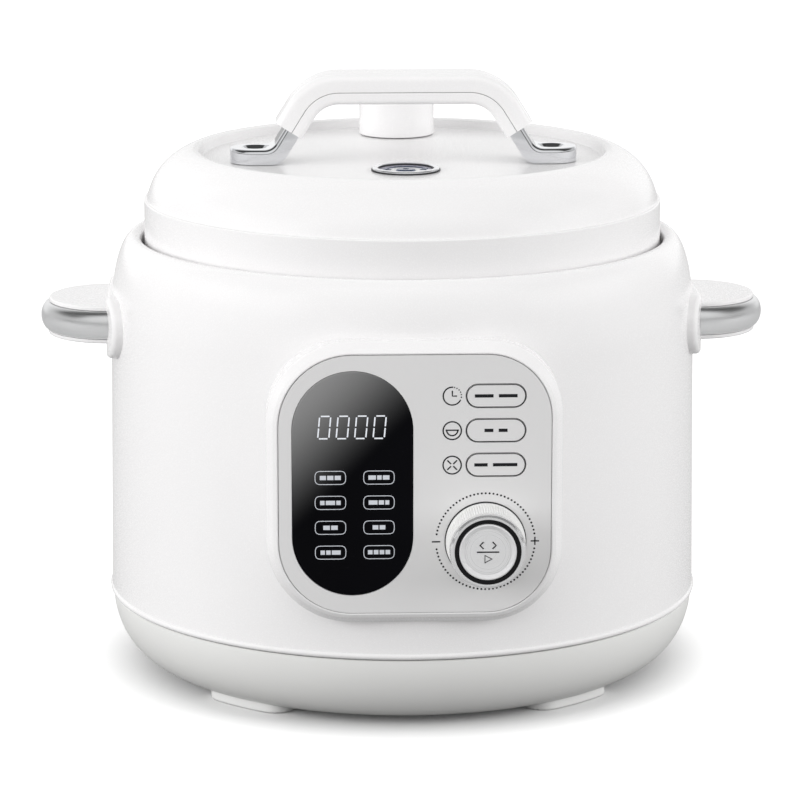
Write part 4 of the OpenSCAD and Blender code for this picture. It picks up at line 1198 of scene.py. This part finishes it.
def studio_world():
    """Pale room, brighter overhead and in front, with a white backdrop behind the object.

    Glossy rays alone meet two dark gaps, low in front and overhead, for chrome to mirror.
    """
    world = bpy.data.worlds.new("studio")
    bpy.context.scene.world = world
    world.use_nodes = True
    tree = world.node_tree
    direction = add_node(tree, "TexCoord").outputs["Generated"]
    axes = add_node(tree, "SeparateXYZ", {0: direction}).outputs
    lean = vector_maths(tree, "DOT_PRODUCT", direction, ROOM_LEAN)["Value"]
    backdrop = faded(tree, axes["Y"], *BACKDROP_Y)
    room = maths(tree, "MAXIMUM", maths(tree, "ADD", lean, ROOM_LEVEL), backdrop)
    from_low = maths(tree, "ABSOLUTE", maths(tree, "SUBTRACT", axes["Z"], LOW_GAP_Z))
    from_top = maths(tree, "ABSOLUTE", maths(tree, "ADD", axes["Y"], TOP_GAP_FORWARD))
    in_front, raised = faded(tree, axes["Y"], *LOW_GAP_Y), faded(tree, axes["Z"], *TOP_GAP_Z)
    low_gap = maths(tree, "MULTIPLY", faded(tree, from_low, *LOW_GAP_REACH), in_front)
    top_gap = maths(tree, "MULTIPLY", faded(tree, from_top, *TOP_GAP_REACH), raised)
    mirrored_only = maths(tree, "MULTIPLY", add_node(tree, "LightPath").outputs["Is Glossy Ray"], GAP_DEPTH)
    dark = maths(tree, "MULTIPLY", maths(tree, "MAXIMUM", low_gap, top_gap), mirrored_only)
    lit = maths(tree, "SUBTRACT", 1.0, dark)
    feed(tree, tree.nodes["Background"], {"Strength": maths(tree, "MULTIPLY", room, lit), "Color": WHITE})


def photo_camera():
    """Long lens a little above the object, which stands turned a little to the right."""
    data = bpy.data.cameras.new("camera")
    data.lens = CAMERA_LENS
    data.sensor_width = CAMERA_SENSOR
    camera = add_object("camera", data)
    ahead = Vector((math.sin(CAMERA_TURN), math.cos(CAMERA_TURN), 0))
    right = Vector((ahead.y, -ahead.x, 0))
    camera.location = right * CAMERA_SIDE - ahead * CAMERA_DISTANCE + Vector((0, 0, CAMERA_HEIGHT))
    camera.rotation_euler = (math.pi / 2 - CAMERA_PITCH, 0, -CAMERA_TURN)
    bpy.context.scene.camera = camera


stage_floor()
studio_world()
for name, (location, size, power) in LIGHTS.items():
    area_light(name, location, size, power)
photo_camera()
bpy.context.scene.view_settings.view_transform = "Standard"
